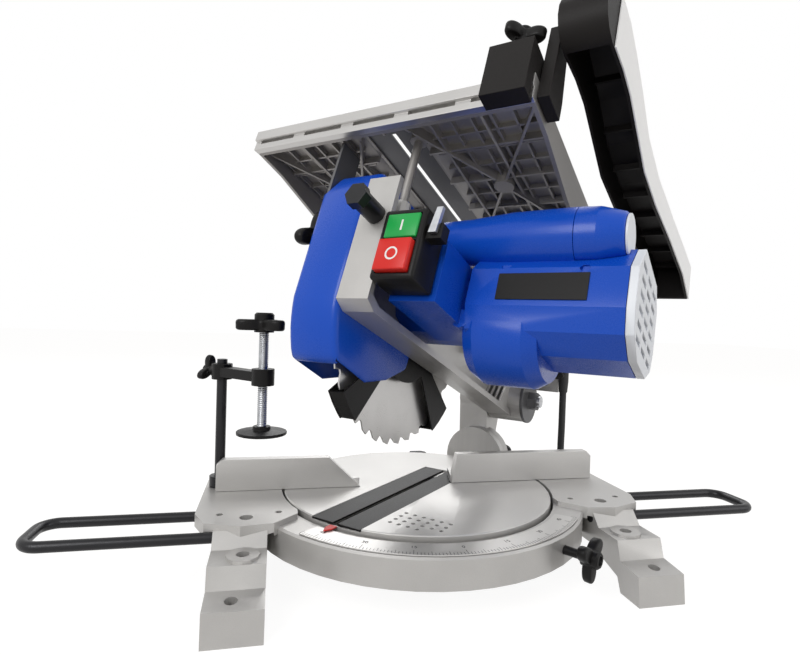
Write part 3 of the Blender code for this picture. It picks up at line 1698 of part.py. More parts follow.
def fence_block():
    """The block that slides on the front rail, its knob and the fence on it."""
    bottom = -table_rail_height - gap - block_lip
    profile = [
        (-block_front, bottom),
        (table_rail_depth / 2, bottom),
        (table_rail_depth / 2, bottom + block_lip),
        (-gap, bottom + block_lip),
        (-gap, gap),
        (block_top_depth, gap),
        (block_top_depth, block_height / 2),
        (block_top_depth * 0.7, block_height),
        (-block_front, block_height),
    ]
    made = node("fence_block", Form().prism(profile, block_left, block_right, axis="x"), dark_cast_look, table_frame)
    rip_start = block_top_depth + gap
    rip_part = node("rip_fence", Form().box(
        (rip_left, rip_start, gap), (rip_left + rip_width, rip_end, rip_height)
    ), cast_look, table_frame)
    hollow = Form().box(
        (rip_left + rip_wall, 0.0, rip_wall + gap), (rip_left + rip_width - rip_wall, rip_end + overrun, rip_height - rip_wall)
    )
    cut(rip_part, hollow)
    knob_frame = empty(
        "block_knob_frame", table_frame, ((block_left + block_right) / 2, block_front / 2, 0.0)
    )
    base = block_height + gap
    lobes = [(u * block_knob_scale, v * block_knob_scale) for u, v in lobed(knob_tip, knob_valley)]
    top_part = node("fence_block_knob", Form().prism(
        lobes, base + knob_hub_height, base + knob_hub_height + knob_thickness
    ), black_look, knob_frame)
    join(top_part, Form().cylinder(knob_hub_radius * block_knob_scale, base, base + knob_hub_height + knob_thickness * 1.3))
    return made


def hood():
    """The black guard hood: an open channel with cross ribs, and its pale edge."""
    made = node("guard_hood", hood_skin(0.0, 0.0, hood_width, 0.0), black_look, hood_frame)
    cut(made, hood_skin(hood_wall, hood_wall, hood_width - hood_wall, overrun))
    rows = hood_lines()
    ribs = Form()
    for i in range(hood_rib_count):
        y = hood_reach * (i + 1.5) / (hood_rib_count + 1)
        after = next(k for k, row in enumerate(rows) if row[0] > y)
        share = (y - rows[after - 1][0]) / (rows[after][0] - rows[after - 1][0])
        top = rows[after - 1][1] + (rows[after][1] - rows[after - 1][1]) * share
        x = hood_sheer(y)
        ribs.box(
            (x + hood_wall / 2, y, top - hood_rib_height - hood_wall),
            (x + hood_width - hood_wall / 2, y + hood_wall, top - hood_wall * 0.6),
        )
    join(made, ribs)
    cut(made, Form().cylinder(hood_bolt_radius / 2 + gap, -overrun, hood_wall + overrun, axis="x"))
    bolt = Form().cylinder(hood_bolt_radius, hood_wall + 4 * gap, hood_wall + hood_bolt_radius, axis="x")
    bolt_part = node("hood_bolt", bolt, steel_look, table_hood_frame)
    join(bolt_part, Form().cylinder(
        hood_bolt_radius / 2, table_half_width + gap - hood_left, hood_wall + hood_bolt_radius / 2, axis="x"
    ))
    points = []
    for grow in (gap, gap + hood_side_thickness):
        for y, top, _ in rows:
            points.append((hood_width + hood_sheer(y) + grow, y, top))
        for y, _, bottom in reversed(rows):
            points.append((hood_width + hood_sheer(y) + grow, y, bottom))
    node("hood_side_plate", Form().skin(points), white_look, hood_frame)
    return made


def cord_route():
    """The free lead, from the strain relief down to the bench and to the coil's first turn."""
    low = cord_radius + coil_lift()
    start = cord_exit_z - relief_length
    end_x = coil_x + coil_outer
    fall = start - low
    run = coil_y - cord_y
    return [
        (cord_x, cord_y, start),
        (cord_x, cord_y, start - fall * 0.14),
        (cord_x, cord_y, start - fall * 0.30),
        (cord_x, cord_y + run * 0.005, start - fall * 0.46),
        (cord_x + (end_x - cord_x) * 0.03, cord_y + run * 0.01, start - fall * 0.61),
        (cord_x + (end_x - cord_x) * 0.12, cord_y + run * 0.05, start - fall * 0.75),
        (cord_x + (end_x - cord_x) * 0.33, cord_y + run * 0.15, start - fall * 0.88),
        (cord_x + (end_x - cord_x) * 0.62, cord_y + run * 0.32, start - fall * 0.97),
        (cord_x + (end_x - cord_x) * 0.87, cord_y + run * 0.57, low),
        (end_x, cord_y + run * 0.84, low),
        (end_x, coil_y - 2 * cord_radius, low),
    ]


def smooth(points, spacing):
    """Points read at a steady spacing from a smooth curve through the given ones."""
    given = [Vector(point) for point in points]
    given = [2 * given[0] - given[1]] + given + [2 * given[-1] - given[-2]]
    dense = []
    for i in range(1, len(given) - 2):
        a, b, c, d = given[i - 1:i + 3]
        for j in range(24):
            t = j / 24
            dense.append(
                0.5 * (2 * b + (c - a) * t + (2 * a - 5 * b + 4 * c - d) * t**2 + (3 * b - a - 3 * c + d) * t**3)
            )
    dense.append(given[-2])
    read = [dense[0]]
    walked = 0.0
    for before, here in zip(dense, dense[1:]):
        walked += (here - before).length
        if walked >= spacing:
            read.append(here)
            walked = 0.0
    if (read[-1] - dense[-1]).length > spacing / 3:
        read.append(dense[-1])
    else:
        read[-1] = dense[-1]
    return read


def coil_route():
    """The wound part: one layer spirals in, climbs, and the next spirals out to the plug."""
    step = 2 * cord_radius + coil_clearance
    half = coil_turns / 2
    low = cord_radius + coil_lift()
    points = [Vector((coil_x + coil_outer, coil_y - 2 * cord_radius + gap, low))]
    total = round(coil_turns * coil_points)
    for i in range(total + 1):
        turns = i / coil_points
        radius = coil_outer - step * min(turns, half) + step * max(turns - half, 0.0)
        climb = min(max((turns - half + 0.25) / 0.5, 0.0), 1.0)
        rise = climb * climb * (3 - 2 * climb)
        angle = math.tau * turns
        points.append(
            Vector((coil_x + radius * math.cos(angle), coil_y + radius * math.sin(angle), low + step * rise))
        )
    last = points[-1]
    level = plug_radius + gap
    steps = 5
    for i in range(1, steps + 1):
        share = i / steps
        ease = share * share * (3 - 2 * share)
        points.append(last + Vector((-coil_tail * share, overrun * share, (level - last.z) * ease)))
    points.append(points[-1] + Vector((-2 * cord_radius, 0.0, 0.0)))
    return points


def least_gap(points):
    """The smallest clear space between stretches of a tube that aren't neighbours."""
    least = math.inf
    apart = coil_points // 2
    for i, here in enumerate(points):
        for there in points[i + apart:]:
            least = min(least, (here - there).length - 2 * cord_radius)
    return least


def mains_lead():
    """Guide rod, strain relief, hanging lead, coil, tie and plug."""
    frame = empty("lead_frame", turn_frame, rotation_deg=(0.0, 0.0, -mitre_rest_deg))
    top = cord_exit_z
    foot_z = ring_top + guide_rod_radius + 2 * gap
    rod = [
        (guide_foot_x + guide_rod_radius * right, guide_foot_y + guide_rod_radius * back, foot_z)
        for right, back in guide_turn_shares
    ]
    rod += [
        (guide_rod_x - guide_rod_radius * 3, guide_rod_y - guide_rod_radius, foot_z),
        (guide_rod_x - guide_rod_radius, guide_rod_y - guide_rod_radius * 0.3, foot_z + guide_rod_radius),
        (guide_rod_x, guide_rod_y, foot_z + guide_rod_radius * 3),
        (guide_rod_x, guide_rod_y, top - relief_length * 0.65),
    ]
    tube("lead_guide_rod", rod, guide_rod_radius, rod_look, frame, 1)
    relief = [
        (0.0, top - relief_length + gap),
        (cord_radius * 1.25, top - relief_length + gap),
        (cord_radius * 1.5, top - relief_length / 2),
        (cord_radius * 1.5, top),
        (0.0, top),
    ]
    clip = node("strain_relief", Form().turned(relief, centre=(cord_x, cord_y), steps=small_steps), black_look, frame)
    along = Vector((guide_rod_x - cord_x, guide_rod_y - cord_y))
    across = Vector((-along.y, along.x)).normalized() * cord_radius * 0.82
    end = along * 1.12
    corners = [across, -across, Vector(end) - across, Vector(end) + across]
    outline = [(cord_x + corner.x, cord_y + corner.y) for corner in corners]
    join(clip, Form().prism(outline, top - relief_length * 0.65 + gap, top - relief_length * 0.2))
    tube("mains_lead", smooth(cord_route(), cord_radius * 4), cord_radius, rubber_look, frame, 2)
    wound = coil_route()
    print(f"coil: least gap to itself {least_gap(wound) * 1000:.2f} mm")
    walked = sum((b - a).length for a, b in zip(wound, wound[1:]))
    free = [Vector(point) for point in smooth(cord_route(), cord_radius)]
    walked += sum((b - a).length for a, b in zip(free, free[1:]))
    print(f"lead: {walked:.3f} m from the strain relief to the plug")
    tube("lead_coil", wound, cord_radius, rubber_look, frame, 1)
    tie_frame = empty("tie_frame", frame, (coil_x, coil_y, 0.0), (0.0, 0.0, 45.0))
    step = 2 * cord_radius + coil_clearance
    far = coil_outer - step * 0.125 + cord_radius + tie_fit
    near = coil_outer - step * 2.125 - cord_radius - tie_fit
    high = coil_lift() + 2 * cord_radius + step + tie_fit
    half = tie_width / 2
    tie = node("lead_tie", Form().box(
        (near - tie_thickness, -half, gap), (far + tie_thickness, half, high + tie_thickness)
    ), black_look, tie_frame)
    cut(tie, Form().box((near, -half - overrun, gap + tie_thickness), (far, half + overrun, high)))
    plug_end = wound[-1]
    plug_frame = empty("plug_frame", frame, tuple(plug_end), (0.0, 0.0, 180.0))
    body = [
        (0.0, gap),
        (plug_neck, gap),
        (plug_neck, plug_length * 0.28),
        (plug_radius * 0.92, plug_length * 0.46),
        (plug_radius, plug_length * 0.62),
        (plug_radius, plug_length),
        (0.0, plug_length),
    ]
    plug = node("mains_plug", Form().turned(body, axis="x"), black_look, plug_frame)
    pins = Form()
    for side in (-1, 1):
        pins.cylinder(
            plug_pin_radius, plug_length - overrun, plug_length + plug_pin_length, axis="x",
            centre=(side * plug_pin_spacing, 0.0), steps=small_steps // 2,
        )
    join(plug, pins)


def rear_opening_form(inner):
    """What is taken from the ring at the back, so that the turntable's arm can swing."""
    outer = ring_radius + ring_wall
    outline = arc(outer, 90 - rear_opening_deg, 90 + rear_opening_deg, small_steps * 2)
    outline += arc(inner, 90 + rear_opening_deg, 90 - rear_opening_deg, small_steps * 2)
    return Form().prism(outline, ring_bottom - overrun, ring_top + overrun)


def rib_forms(front, back):
    """Square and diagonal ribs under the plate, and the round bosses where the diagonals meet."""
    half = table_half_width - table_skirt_wall / 2
    near = front + table_skirt_wall / 2
    far = back - table_skirt_wall / 2
    columns = Form()
    for i in range(1, rib_columns + 1):
        x = -half + 2 * half * i / (rib_columns + 1)
        columns.box((x - rib_thickness / 2, near, -rib_height), (x + rib_thickness / 2, far, -table_plate * 0.5))
    rows = Form()
    for i in range(1, rib_rows + 1):
        y = near + (far - near) * i / (rib_rows + 1)
        rows.box((-half, y - rib_thickness / 2, -rib_height * 0.93), (half, y + rib_thickness / 2, -table_plate * 0.6))
    forms = [columns, rows]
    for side in (-1, 1):
        centre = Vector((side * half * 0.58, near + (far - near) * 0.36))
        braces = ((0.16, 0.02, 1.10), (0.98, 0.03, 1.14), (0.18, 0.70, 1.18), (0.97, 0.72, 1.22))
        for across_share, along_share, depth_share in braces:
            end = Vector((side * half * across_share, near + (far - near) * along_share))
            along = (end - centre).normalized()
            across = Vector((-along.y, along.x)) * rib_thickness / 2
            corners = [centre + across, centre - across, end - across, end + across]
            forms.append(Form().prism([tuple(c) for c in corners], -rib_height * depth_share, -table_plate * 0.7))
        forms.append(Form().cylinder(rib_boss_radius, -rib_height * 1.3, -table_plate * 0.3, centre=tuple(centre)))
    return forms


def hood_bracket():
    """The black plate on the table's right edge that the hood swings on."""
    left = table_half_width + gap
    right = hood_left + hood_sheer(-hood_nose_radius) - gap
    third = hood_arm_width / 3
    profile = [
        (table_rail_depth, -table_skirt * 0.8),
        (hood_pivot_y + third * 2, -table_skirt * 0.8),
        (hood_pivot_y + third * 2, 0.0),
        (hood_pivot_y + third, hood_pivot_z),
        (hood_pivot_y, hood_pivot_z + third),
        (hood_pivot_y - third, hood_pivot_z),
        (table_rail_depth, 0.0),
    ]
    made = node("hood_bracket", Form().prism(profile, left, right, axis="x"), black_look, table_frame)
    bore = Form().cylinder(
        hood_bolt_radius / 2 + gap, left - overrun, right + overrun, axis="x", centre=(hood_pivot_y, hood_pivot_z)
    )
    cut(made, bore)
    return made


def hood_lines():
    """Side view of the hood from its hinge: rows of (y, top z, bottom z)."""
    return [
        (hood_reach * place, hood_nose_radius * top, hood_nose_radius * bottom)
        for place, top, bottom in zip(hood_place_shares, hood_top_shares, hood_bottom_shares)
    ]


def hood_sheer(y):
    """How far the hood leans out to the right at a place along it."""
    return hood_flare * y / hood_reach


def hood_skin(inset, left, right, deeper):
    """The hood's outline as a slab that leans out as it goes back."""
    steps = 8
    nose = [
        (
            -(hood_nose_radius - inset) * math.sin(math.pi * (1 - (i + 0.6) / (steps + 0.6))),
            (hood_nose_radius - inset) * math.cos(math.pi * (1 - (i + 0.6) / (steps + 0.6))),
        )
        for i in range(steps)
    ]
    rows = hood_lines()
    top = [(y, z - inset) for y, z, _ in rows]
    low = [(y, z - deeper) for y, _, z in rows]
    top[-1] = (top[-1][0] - inset, top[-1][1])
    low[-1] = (low[-1][0] - inset, low[-1][1])
    outline = nose + top + list(reversed(low))
    points = [(side + hood_sheer(y), y, z) for side in (left, right) for y, z in outline]
    return Form().skin(points)


def coil_lift():
    """Height of the coil's underside over the bench, which the tie passes under."""
    return tie_thickness + tie_fit + gap


# Making
base_casting()
for side, inner, lean, name in (
    (-1, fence_inner_left, fence_lean_left, "fence_left"),
    (1, fence_inner_right, fence_lean_right, "fence_right"),
):
    fence(side, inner, lean, name)
    for label, place in zip(("inner", "outer"), fence_bolt_places):
        socket_screw(
            f"{name}_screw_{label}", (side * place, fence_bolt_y), table_height + gap + fence_foot_height, base_frame, rod_look
        )
extension_bar(-1, "extension_bar_left")
extension_bar(1, "extension_bar_right")
scale_ring()
mitre_lock()
work_clamp()
turntable()
kerf_plate(-1, "kerf_plate_left")
kerf_plate(1, "kerf_plate_right")
mitre_pointer()
pivot_bolt()
tilt_bracket()
pivot_shaft()
tilt_bolt()
stop_knob()
head_arm()
barrel_cap_part()
stop_post()
blade_housing()
blade()
arbor()
lower_guard()
motor_housing()
handle_cap()
motor_end_cap()
rating_plate()
switch()
release_lever()
table_top_part()
table_rail()
table_insert()
table_bracket()
height_knob()
fence_block()
hood_bracket()
hood()
mains_lead()
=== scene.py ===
# %% [markdown]
# # A miter saw in a plain studio
# This lesson dresses a jointed CAD model of a miter saw: cast metal, blue mouldings, black knobs, a
# bright blade and a wound mains lead. The CAD pieces arrive as plain flat-faced solids that move on named
# bodies. Each step below gives one of them its finish, or makes a finer piece that stands for it and
# rides on the same body.

# %% Tools and the CAD frame
import json
import math

import bmesh
import bpy
import numpy as np
from mathutils import Matrix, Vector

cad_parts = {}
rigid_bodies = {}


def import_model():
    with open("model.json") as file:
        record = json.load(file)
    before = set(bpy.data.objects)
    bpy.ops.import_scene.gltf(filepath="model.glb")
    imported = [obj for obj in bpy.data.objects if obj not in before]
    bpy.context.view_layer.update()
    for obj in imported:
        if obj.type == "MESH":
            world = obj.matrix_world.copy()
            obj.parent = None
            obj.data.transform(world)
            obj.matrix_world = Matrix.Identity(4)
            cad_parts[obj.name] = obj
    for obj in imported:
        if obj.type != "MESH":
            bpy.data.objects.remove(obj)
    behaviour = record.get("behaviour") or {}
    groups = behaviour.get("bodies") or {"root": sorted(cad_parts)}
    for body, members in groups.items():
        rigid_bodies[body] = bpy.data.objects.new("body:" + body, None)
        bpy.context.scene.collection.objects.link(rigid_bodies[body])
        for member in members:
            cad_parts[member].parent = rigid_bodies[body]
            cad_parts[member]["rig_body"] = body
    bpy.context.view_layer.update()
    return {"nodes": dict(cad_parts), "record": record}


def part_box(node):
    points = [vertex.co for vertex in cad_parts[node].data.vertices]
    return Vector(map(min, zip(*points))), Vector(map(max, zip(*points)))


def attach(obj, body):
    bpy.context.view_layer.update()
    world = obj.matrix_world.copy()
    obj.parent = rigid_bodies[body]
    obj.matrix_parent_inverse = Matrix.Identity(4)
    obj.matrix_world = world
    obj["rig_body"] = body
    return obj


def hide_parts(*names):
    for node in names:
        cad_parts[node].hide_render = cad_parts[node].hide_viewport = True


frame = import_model()
slot_of = {part["node"]: part["material_slot"] for part in frame["record"]["subparts"]}
body_of = {node: piece["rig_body"] for node, piece in frame["nodes"].items()}

# %% [markdown]
# ## Directions
# The turntable stands at its left 45 degree stop, and the head is raised 22 degrees about a hinge behind
# the blade. Rows of three unit vectors say which way right, back and up point on the base, the turntable
# and the head, so that a piece can be worked out in its carrier's own directions and then placed with one
# matrix product.

# %% Directions and origins of base, turntable and head
turntable_angle = math.radians(-45)
head_angle = math.radians(22)
base_axes = np.eye(3)
turn_axes = np.array([
    [math.cos(turntable_angle), math.sin(turntable_angle), 0.0],
    [-math.sin(turntable_angle), math.cos(turntable_angle), 0.0],
    [0.0, 0.0, 1.0],
])
head_axes = np.array([
    turn_axes[0],
    turn_axes[1] * math.cos(head_angle) - turn_axes[2] * math.sin(head_angle),
    turn_axes[1] * math.sin(head_angle) + turn_axes[2] * math.cos(head_angle),
])
base_origin = np.zeros(3)
head_origin = np.array([0.0, 0.195, 0.147]) @ turn_axes
table_origin = head_origin + np.array([0.0, -0.397, 0.181]) @ head_axes


def placed(points, origin, axes):
    """Local points in the row frame: the origin plus right, back and up, each times its own direction."""
    return origin + np.asarray(points, float) @ axes


print("head hinge at", head_origin.round(4), "and table front at", table_origin.round(4))

# %% [markdown]
# ## The camera
# The picture was taken from just in front of the saw's left foot, a little above the turntable, with a
# wide lens that leans slightly. The camera's matrix is built from its looking direction, its right and
# its up, turned together by the small lean.

# %% Camera at the photograph's viewpoint
camera_place = np.array([-0.1623, -0.6123, 0.2593])
camera_yaw, camera_pitch, camera_lean = (math.radians(angle) for angle in (-12.6, -1.2, 1.8))
picture_width = 800
focal_pixels = 550.0
looking = np.array([
    -math.sin(camera_yaw) * math.cos(camera_pitch),
    math.cos(camera_yaw) * math.cos(camera_pitch),
    math.sin(camera_pitch),
])
level_right = np.array([math.cos(camera_yaw), math.sin(camera_yaw), 0.0])
level_up = np.cross(level_right, looking)
camera_right = level_right * math.cos(camera_lean) + level_up * math.sin(camera_lean)
camera_up = level_up * math.cos(camera_lean) - level_right * math.sin(camera_lean)
camera_matrix = np.eye(4)
camera_matrix[:3] = np.column_stack([camera_right, camera_up, -looking, camera_place])
lens = bpy.data.cameras.new("studio_lens")
lens.sensor_width = 36.0
lens.lens = focal_pixels * lens.sensor_width / picture_width
lens.clip_start = 0.01
camera = bpy.data.objects.new("studio_camera", lens)
camera.matrix_world = Matrix(camera_matrix.tolist())
bpy.context.scene.collection.objects.link(camera)
bpy.context.scene.camera = camera
print(f"a {lens.lens:.1f} mm lens at {camera_place.tolist()}")

# %% [markdown]
# ## Shader maths as plain expressions
# A material is a graph of nodes, which soon grows hard to read. Here one small class wraps an output
# socket and overloads the arithmetic operators, so that `0.4 + 0.1 * grain` adds its own Math nodes. A
# finish holds the tree and makes every other node through one method that takes its type, its settings
# and its inputs.

# %% Sockets that take part in arithmetic
class Value:
    """An output socket of a graph that can be added and multiplied."""

    def __init__(self, graph, socket):
        self.graph = graph
        self.socket = socket

    def maths(self, operation, *others):
        return self.graph.node("ShaderNodeMath", {"operation": operation}, dict(enumerate(others)))

    def larger(self, other):
        return self.maths("MAXIMUM", self, other)

    def __add__(self, other):
        return self.maths("ADD", self, other)

    def __mul__(self, other):
        return self.maths("MULTIPLY", self, other)

    __radd__ = __add__
    __rmul__ = __mul__


# %% A graph that makes its nodes, and a finish: one Principled material
class Graph:
    """A node tree. Every node comes from one method: its type, its settings, then its inputs."""

    def __init__(self, tree):
        self.tree = tree

    def node(self, kind, settings, inputs, output=0):
        made = self.tree.nodes.new(kind)
        for name, setting in settings.items():
            setattr(made, name, setting)
        for name, given in inputs.items():
            if isinstance(given, Value):
                self.tree.links.new(given.socket, made.inputs[name])
            else:
                made.inputs[name].default_value = given
        return Value(self, made.outputs[output]) if made.outputs else None


class Finish(Graph):
    """A procedural material. Its constants go straight onto the shader, and what varies is fed in."""

    def __init__(self, name, colour, roughness, metallic=0.0, coat=0.0):
        self.material = bpy.data.materials.new(name)
        self.material.use_nodes = True
        super().__init__(self.material.node_tree)
        self.shader = self.tree.nodes["Principled BSDF"]
        self.colour = (*colour, 1.0)
        self.shader.inputs["Base Color"].default_value = self.colour
        self.shader.inputs["Roughness"].default_value = roughness
        self.shader.inputs["Metallic"].default_value = metallic
        self.shader.inputs["Coat Weight"].default_value = coat
        self.shader.inputs["Coat Roughness"].default_value = 0.15
        self.material.diffuse_color = self.colour

    def feed(self, name, value):
        self.tree.links.new(value.socket, self.shader.inputs[name])

    def place(self):
        """Object coordinates, which are the row frame's metres on every piece."""
        return self.node("ShaderNodeTexCoord", {}, {}, "Object")

    def stretched(self, turn, scale):
        """Object coordinates turned about z, then multiplied along each direction."""
        turned = self.node("ShaderNodeMapping", {"vector_type": "TEXTURE"}, {
            "Vector": self.place(), "Rotation": (0.0, 0.0, turn)
        })
        return self.node("ShaderNodeMapping", {}, {"Vector": turned, "Scale": scale})

    def noise(self, scale, detail=2.0, vector=None):
        """Smooth noise about 0.5, with `scale` blobs to the metre."""
        return self.node("ShaderNodeTexNoise", {}, {
            "Vector": vector or self.place(), "Scale": scale, "Detail": detail
        })

    def mix(self, first, second, share):
        """A colour that goes from the first to the second as the share goes from 0 to 1."""
        return self.node("ShaderNodeMix", {"data_type": "RGBA", "clamp_factor": True}, {
            0: share, 6: first, 7: second
        }, 2)

    def shaded(self, low, high, share):
        """The finish's own colour times a brightness that goes from low to high."""
        dark = tuple(part * low for part in self.colour[:3]) + (1.0,)
        light = tuple(min(part * high, 1.0) for part in self.colour[:3]) + (1.0,)
        self.feed("Base Color", self.mix(dark, light, share))

    def bump(self, height, distance, strength=1.0):
        """Tilts the surface by a height of 0 to 1, `distance` metres tall."""
        self.feed("Normal", self.node("ShaderNodeBump", {}, {
            "Height": height, "Distance": distance, "Strength": strength
        }))


print("shader maths ready")

# %% [markdown]
# ## Cast and machined aluminium
# The base, the turntable and the arm are sand or die castings: pale grey metal with a fine grain,
# slightly uneven in gloss, and a little darker in patches where the release agent stayed. Worked faces
# are brighter, with fine parallel lines left by the cutter. Both come from noise: round blobs for the
# casting, and noise that is stretched along one direction for the cutter's lines.

# %% Aluminium finishes
def cast_finish(name, colour, roughness=0.38, metallic=0.50):
    """Grainy cast metal with a patchy gloss."""
    made = Finish(name, colour, roughness, metallic)
    patches = made.noise(26.0, 3.0)
    grain = made.noise(950.0, 2.0)
    made.shaded(0.84, 1.10, patches * 0.75 + grain * 0.25)
    made.feed("Roughness", roughness - 0.12 + 0.16 * patches + 0.10 * grain)
    made.bump(grain, 0.00022, 0.55)
    return made.material


def machined_finish(name, colour, turn, roughness=0.30):
    """Metal with fine cutter lines along the direction that the turn gives."""
    made = Finish(name, colour, roughness, 0.80)
    lines = made.noise(1.0, 2.0, made.stretched(turn, (18.0, 1900.0, 1900.0)))
    patches = made.noise(18.0, 3.0)
    made.shaded(0.86, 1.08, 0.6 * lines + 0.4 * patches)
    made.feed("Roughness", roughness - 0.10 + 0.16 * lines + 0.12 * patches)
    made.bump(lines, 0.00012, 0.45)
    return made.material


cast = cast_finish("cast_aluminium", (0.49, 0.48, 0.465))
# A darker copy of the cast aluminium, whose darkness is painted shade for the upper table's underside and its
# ribs.
painted_shade_cast = cast_finish("cast_aluminium_painted_shade", (0.34, 0.325, 0.31), 0.46)
dark_cast = cast_finish("dark_casting", (0.13, 0.13, 0.135), 0.46)
bright_cast = machined_finish("machined_aluminium", (0.56, 0.55, 0.535), turntable_angle)
print("aluminium:", cast.name, painted_shade_cast.name, dark_cast.name, bright_cast.name)

# %% [markdown]
# ## The turntable's top
# The round table is faced on a lathe, which leaves fine rings about its axis. Their height is noise read
# along the distance from the axis alone, so it changes outwards and not round the table.

# %% Faced turntable
def faced_finish():
    """Cast metal with lathe rings about the turntable's axis."""
    made = Finish("faced_aluminium", (0.54, 0.53, 0.515), 0.36, 0.60)
    flat = made.node("ShaderNodeVectorMath", {"operation": "MULTIPLY"}, {0: made.place(), 1: (1.0, 1.0, 0.0)})
    distance = made.node("ShaderNodeVectorMath", {"operation": "LENGTH"}, {0: flat}, "Value")
    rings = made.node("ShaderNodeTexNoise", {"noise_dimensions": "1D"}, {"W": distance, "Scale": 1500.0})
    patches = made.noise(22.0, 3.0)
    grain = made.noise(900.0)
    made.shaded(0.84, 1.08, 0.4 * rings + 0.6 * patches)
    made.feed("Roughness", 0.24 + 0.12 * rings + 0.12 * patches)
    made.bump(0.6 * rings + 0.4 * grain, 0.00016, 0.5)
    return made.material


faced = faced_finish()
print("turntable:", faced.name)

# %% [markdown]
# ## Mouldings
# The blade housing and the motor housing are moulded in a deep glossy blue, the hood, the knobs and the
# switch box in black with a fine spark-eroded texture. The gloss of a moulding varies slowly over its
# face, and dust settles on the faces that look up, which is read from the piece's own direction at each
# point.

# %% Moulded plastics
def moulded_finish(name, colour, roughness, texture=0.0001, coat=0.0, dust=0.03, shine=0.5):
    """Moulded plastic: slow changes of gloss, a fine texture and a little dust on top."""
    made = Finish(name, colour, roughness, 0.0, coat)
    made.shader.inputs["Specular IOR Level"].default_value = shine
    slow = made.noise(14.0, 2.0)
    fine = made.noise(1300.0, 1.0)
    normal = made.node("ShaderNodeTexCoord", {}, {}, "Normal")
    facing_up = made.node("ShaderNodeSeparateXYZ", {}, {0: normal}, "Z")
    settled = facing_up.larger(0.0) * made.noise(60.0, 4.0)
    light = tuple(part * 1.06 + 0.002 for part in colour) + (1.0,)
    base = made.mix(made.colour, light, slow)
    made.feed("Base Color", made.mix(base, (0.32, 0.31, 0.30, 1.0), settled * dust))
    made.feed("Roughness", roughness - 0.05 + 0.10 * slow + 0.08 * fine + settled * dust * 2)
    made.bump(fine, texture, 0.5)
    return made.material


blue = moulded_finish("blue_moulding", (0.003, 0.070, 0.50), 0.24, 0.00006, 0.06, 0.006, 0.26)
black = moulded_finish("black_moulding", (0.007, 0.0065, 0.0065), 0.36, 0.00018, dust=0.006, shine=0.16)
hood_black = moulded_finish(
    "textured_black_moulding", (0.009, 0.0075, 0.007), 0.46, 0.00028, dust=0.006, shine=0.16
)
pale = moulded_finish("pale_moulding", (0.74, 0.77, 0.82), 0.34, 0.00006)
# Painted highlight: the hood's side plate is coloured white to stand for the light along the hood's edge.
white = moulded_finish("hood_edge_painted_highlight", (0.90, 0.90, 0.90), 0.30, 0.00004)
green = moulded_finish("green_moulding", (0.012, 0.36, 0.07), 0.30, 0.00003, shine=0.3)
red = moulded_finish("red_moulding", (0.66, 0.020, 0.014), 0.30, 0.00003, shine=0.3)
print("mouldings:", blue.name, black.name, hood_black.name, pale.name, green.name, red.name)

# %% [markdown]
# ## Steel
# The clamp screw and the bolts are zinc plated, a soft bright steel with faint mottling. The blade is
# ground: fine arcs sweep round its centre, and the body is duller than the teeth. The rods are blackened,
# with a thin film of oil that makes their gloss uneven.

# %% Steel finishes
blade_centre = head_origin + np.array([0.0, -0.2509, 0.0043]) @ head_axes


def plated_finish(name, colour, roughness, metallic=1.0):
    """Plated or blackened steel with a mottled gloss."""
    made = Finish(name, colour, roughness, metallic)
    mottling = made.noise(160.0, 3.0)
    scratches = made.noise(2400.0, 1.0)
    made.shaded(0.78, 1.12, mottling)
    made.feed("Roughness", roughness - 0.10 + 0.18 * mottling + 0.06 * scratches)
    made.bump(scratches, 0.00004, 0.4)
    return made.material


def ground_finish():
    """Blade steel with grinding rings about the blade's centre."""
    made = Finish("ground_steel", (0.58, 0.57, 0.56), 0.28, 0.92)
    away = made.node("ShaderNodeVectorMath", {"operation": "SUBTRACT"}, {
        0: made.place(), 1: tuple(blade_centre)
    })
    distance = made.node("ShaderNodeVectorMath", {"operation": "LENGTH"}, {0: away}, "Value")
    rings = made.node("ShaderNodeTexNoise", {"noise_dimensions": "1D"}, {"W": distance, "Scale": 2600.0})
    stains = made.noise(40.0, 3.0)
    made.shaded(0.72, 1.10, 0.5 * rings + 0.5 * stains)
    made.feed("Roughness", 0.18 + 0.16 * rings + 0.12 * stains)
    made.bump(rings, 0.00006, 0.5)
    return made.material


plated = plated_finish("zinc_plated_steel", (0.52, 0.53, 0.55), 0.30)
blackened = plated_finish("blackened_steel", (0.018, 0.018, 0.020), 0.34, 0.55)
ground = ground_finish()
red_paint = moulded_finish("red_paint", (0.55, 0.02, 0.015), 0.40)
ink = moulded_finish("dark_ink", (0.02, 0.02, 0.022), 0.60, 0.00002)
white_ink = moulded_finish("white_ink", (0.80, 0.80, 0.80), 0.45, 0.00002)
print("steel:", plated.name, blackened.name, ground.name)

# %% [markdown]
# ## Rubber
# The lead's jacket is soft black rubber: dull, with a faint grain, and greyer where it has been rubbed.

# %% Rubber finish
def rubber_finish():
    """Dull rubber with a soft grain and rubbed patches."""
    made = Finish("black_rubber", (0.014, 0.014, 0.015), 0.62)
    rubbed = made.noise(70.0, 3.0)
    grain = made.noise(1800.0)
    made.feed("Base Color", made.mix(made.colour, (0.045, 0.045, 0.047, 1.0), rubbed * 0.5))
    made.feed("Roughness", 0.50 + 0.20 * rubbed + 0.06 * grain)
    made.bump(grain, 0.00008, 0.4)
    return made.material


rubber = rubber_finish()
print("lead:", rubber.name)

# %% [markdown]
# ## Softened castings and mouldings
# A CAD node is a set of loose flat triangles, so light breaks on every facet and each edge is razor
# sharp. A real casting has a small radius on each edge. The copy made here merges the triangles, joins
# those that lie in one plane, shades the curved faces smoothly and lets a Bevel modifier round what is
# left sharp. The CAD node itself stays untouched, hidden behind its copy.

# %% A softened copy of a CAD node
weld_distance = 0.00002
plane_tolerance = math.radians(0.6)


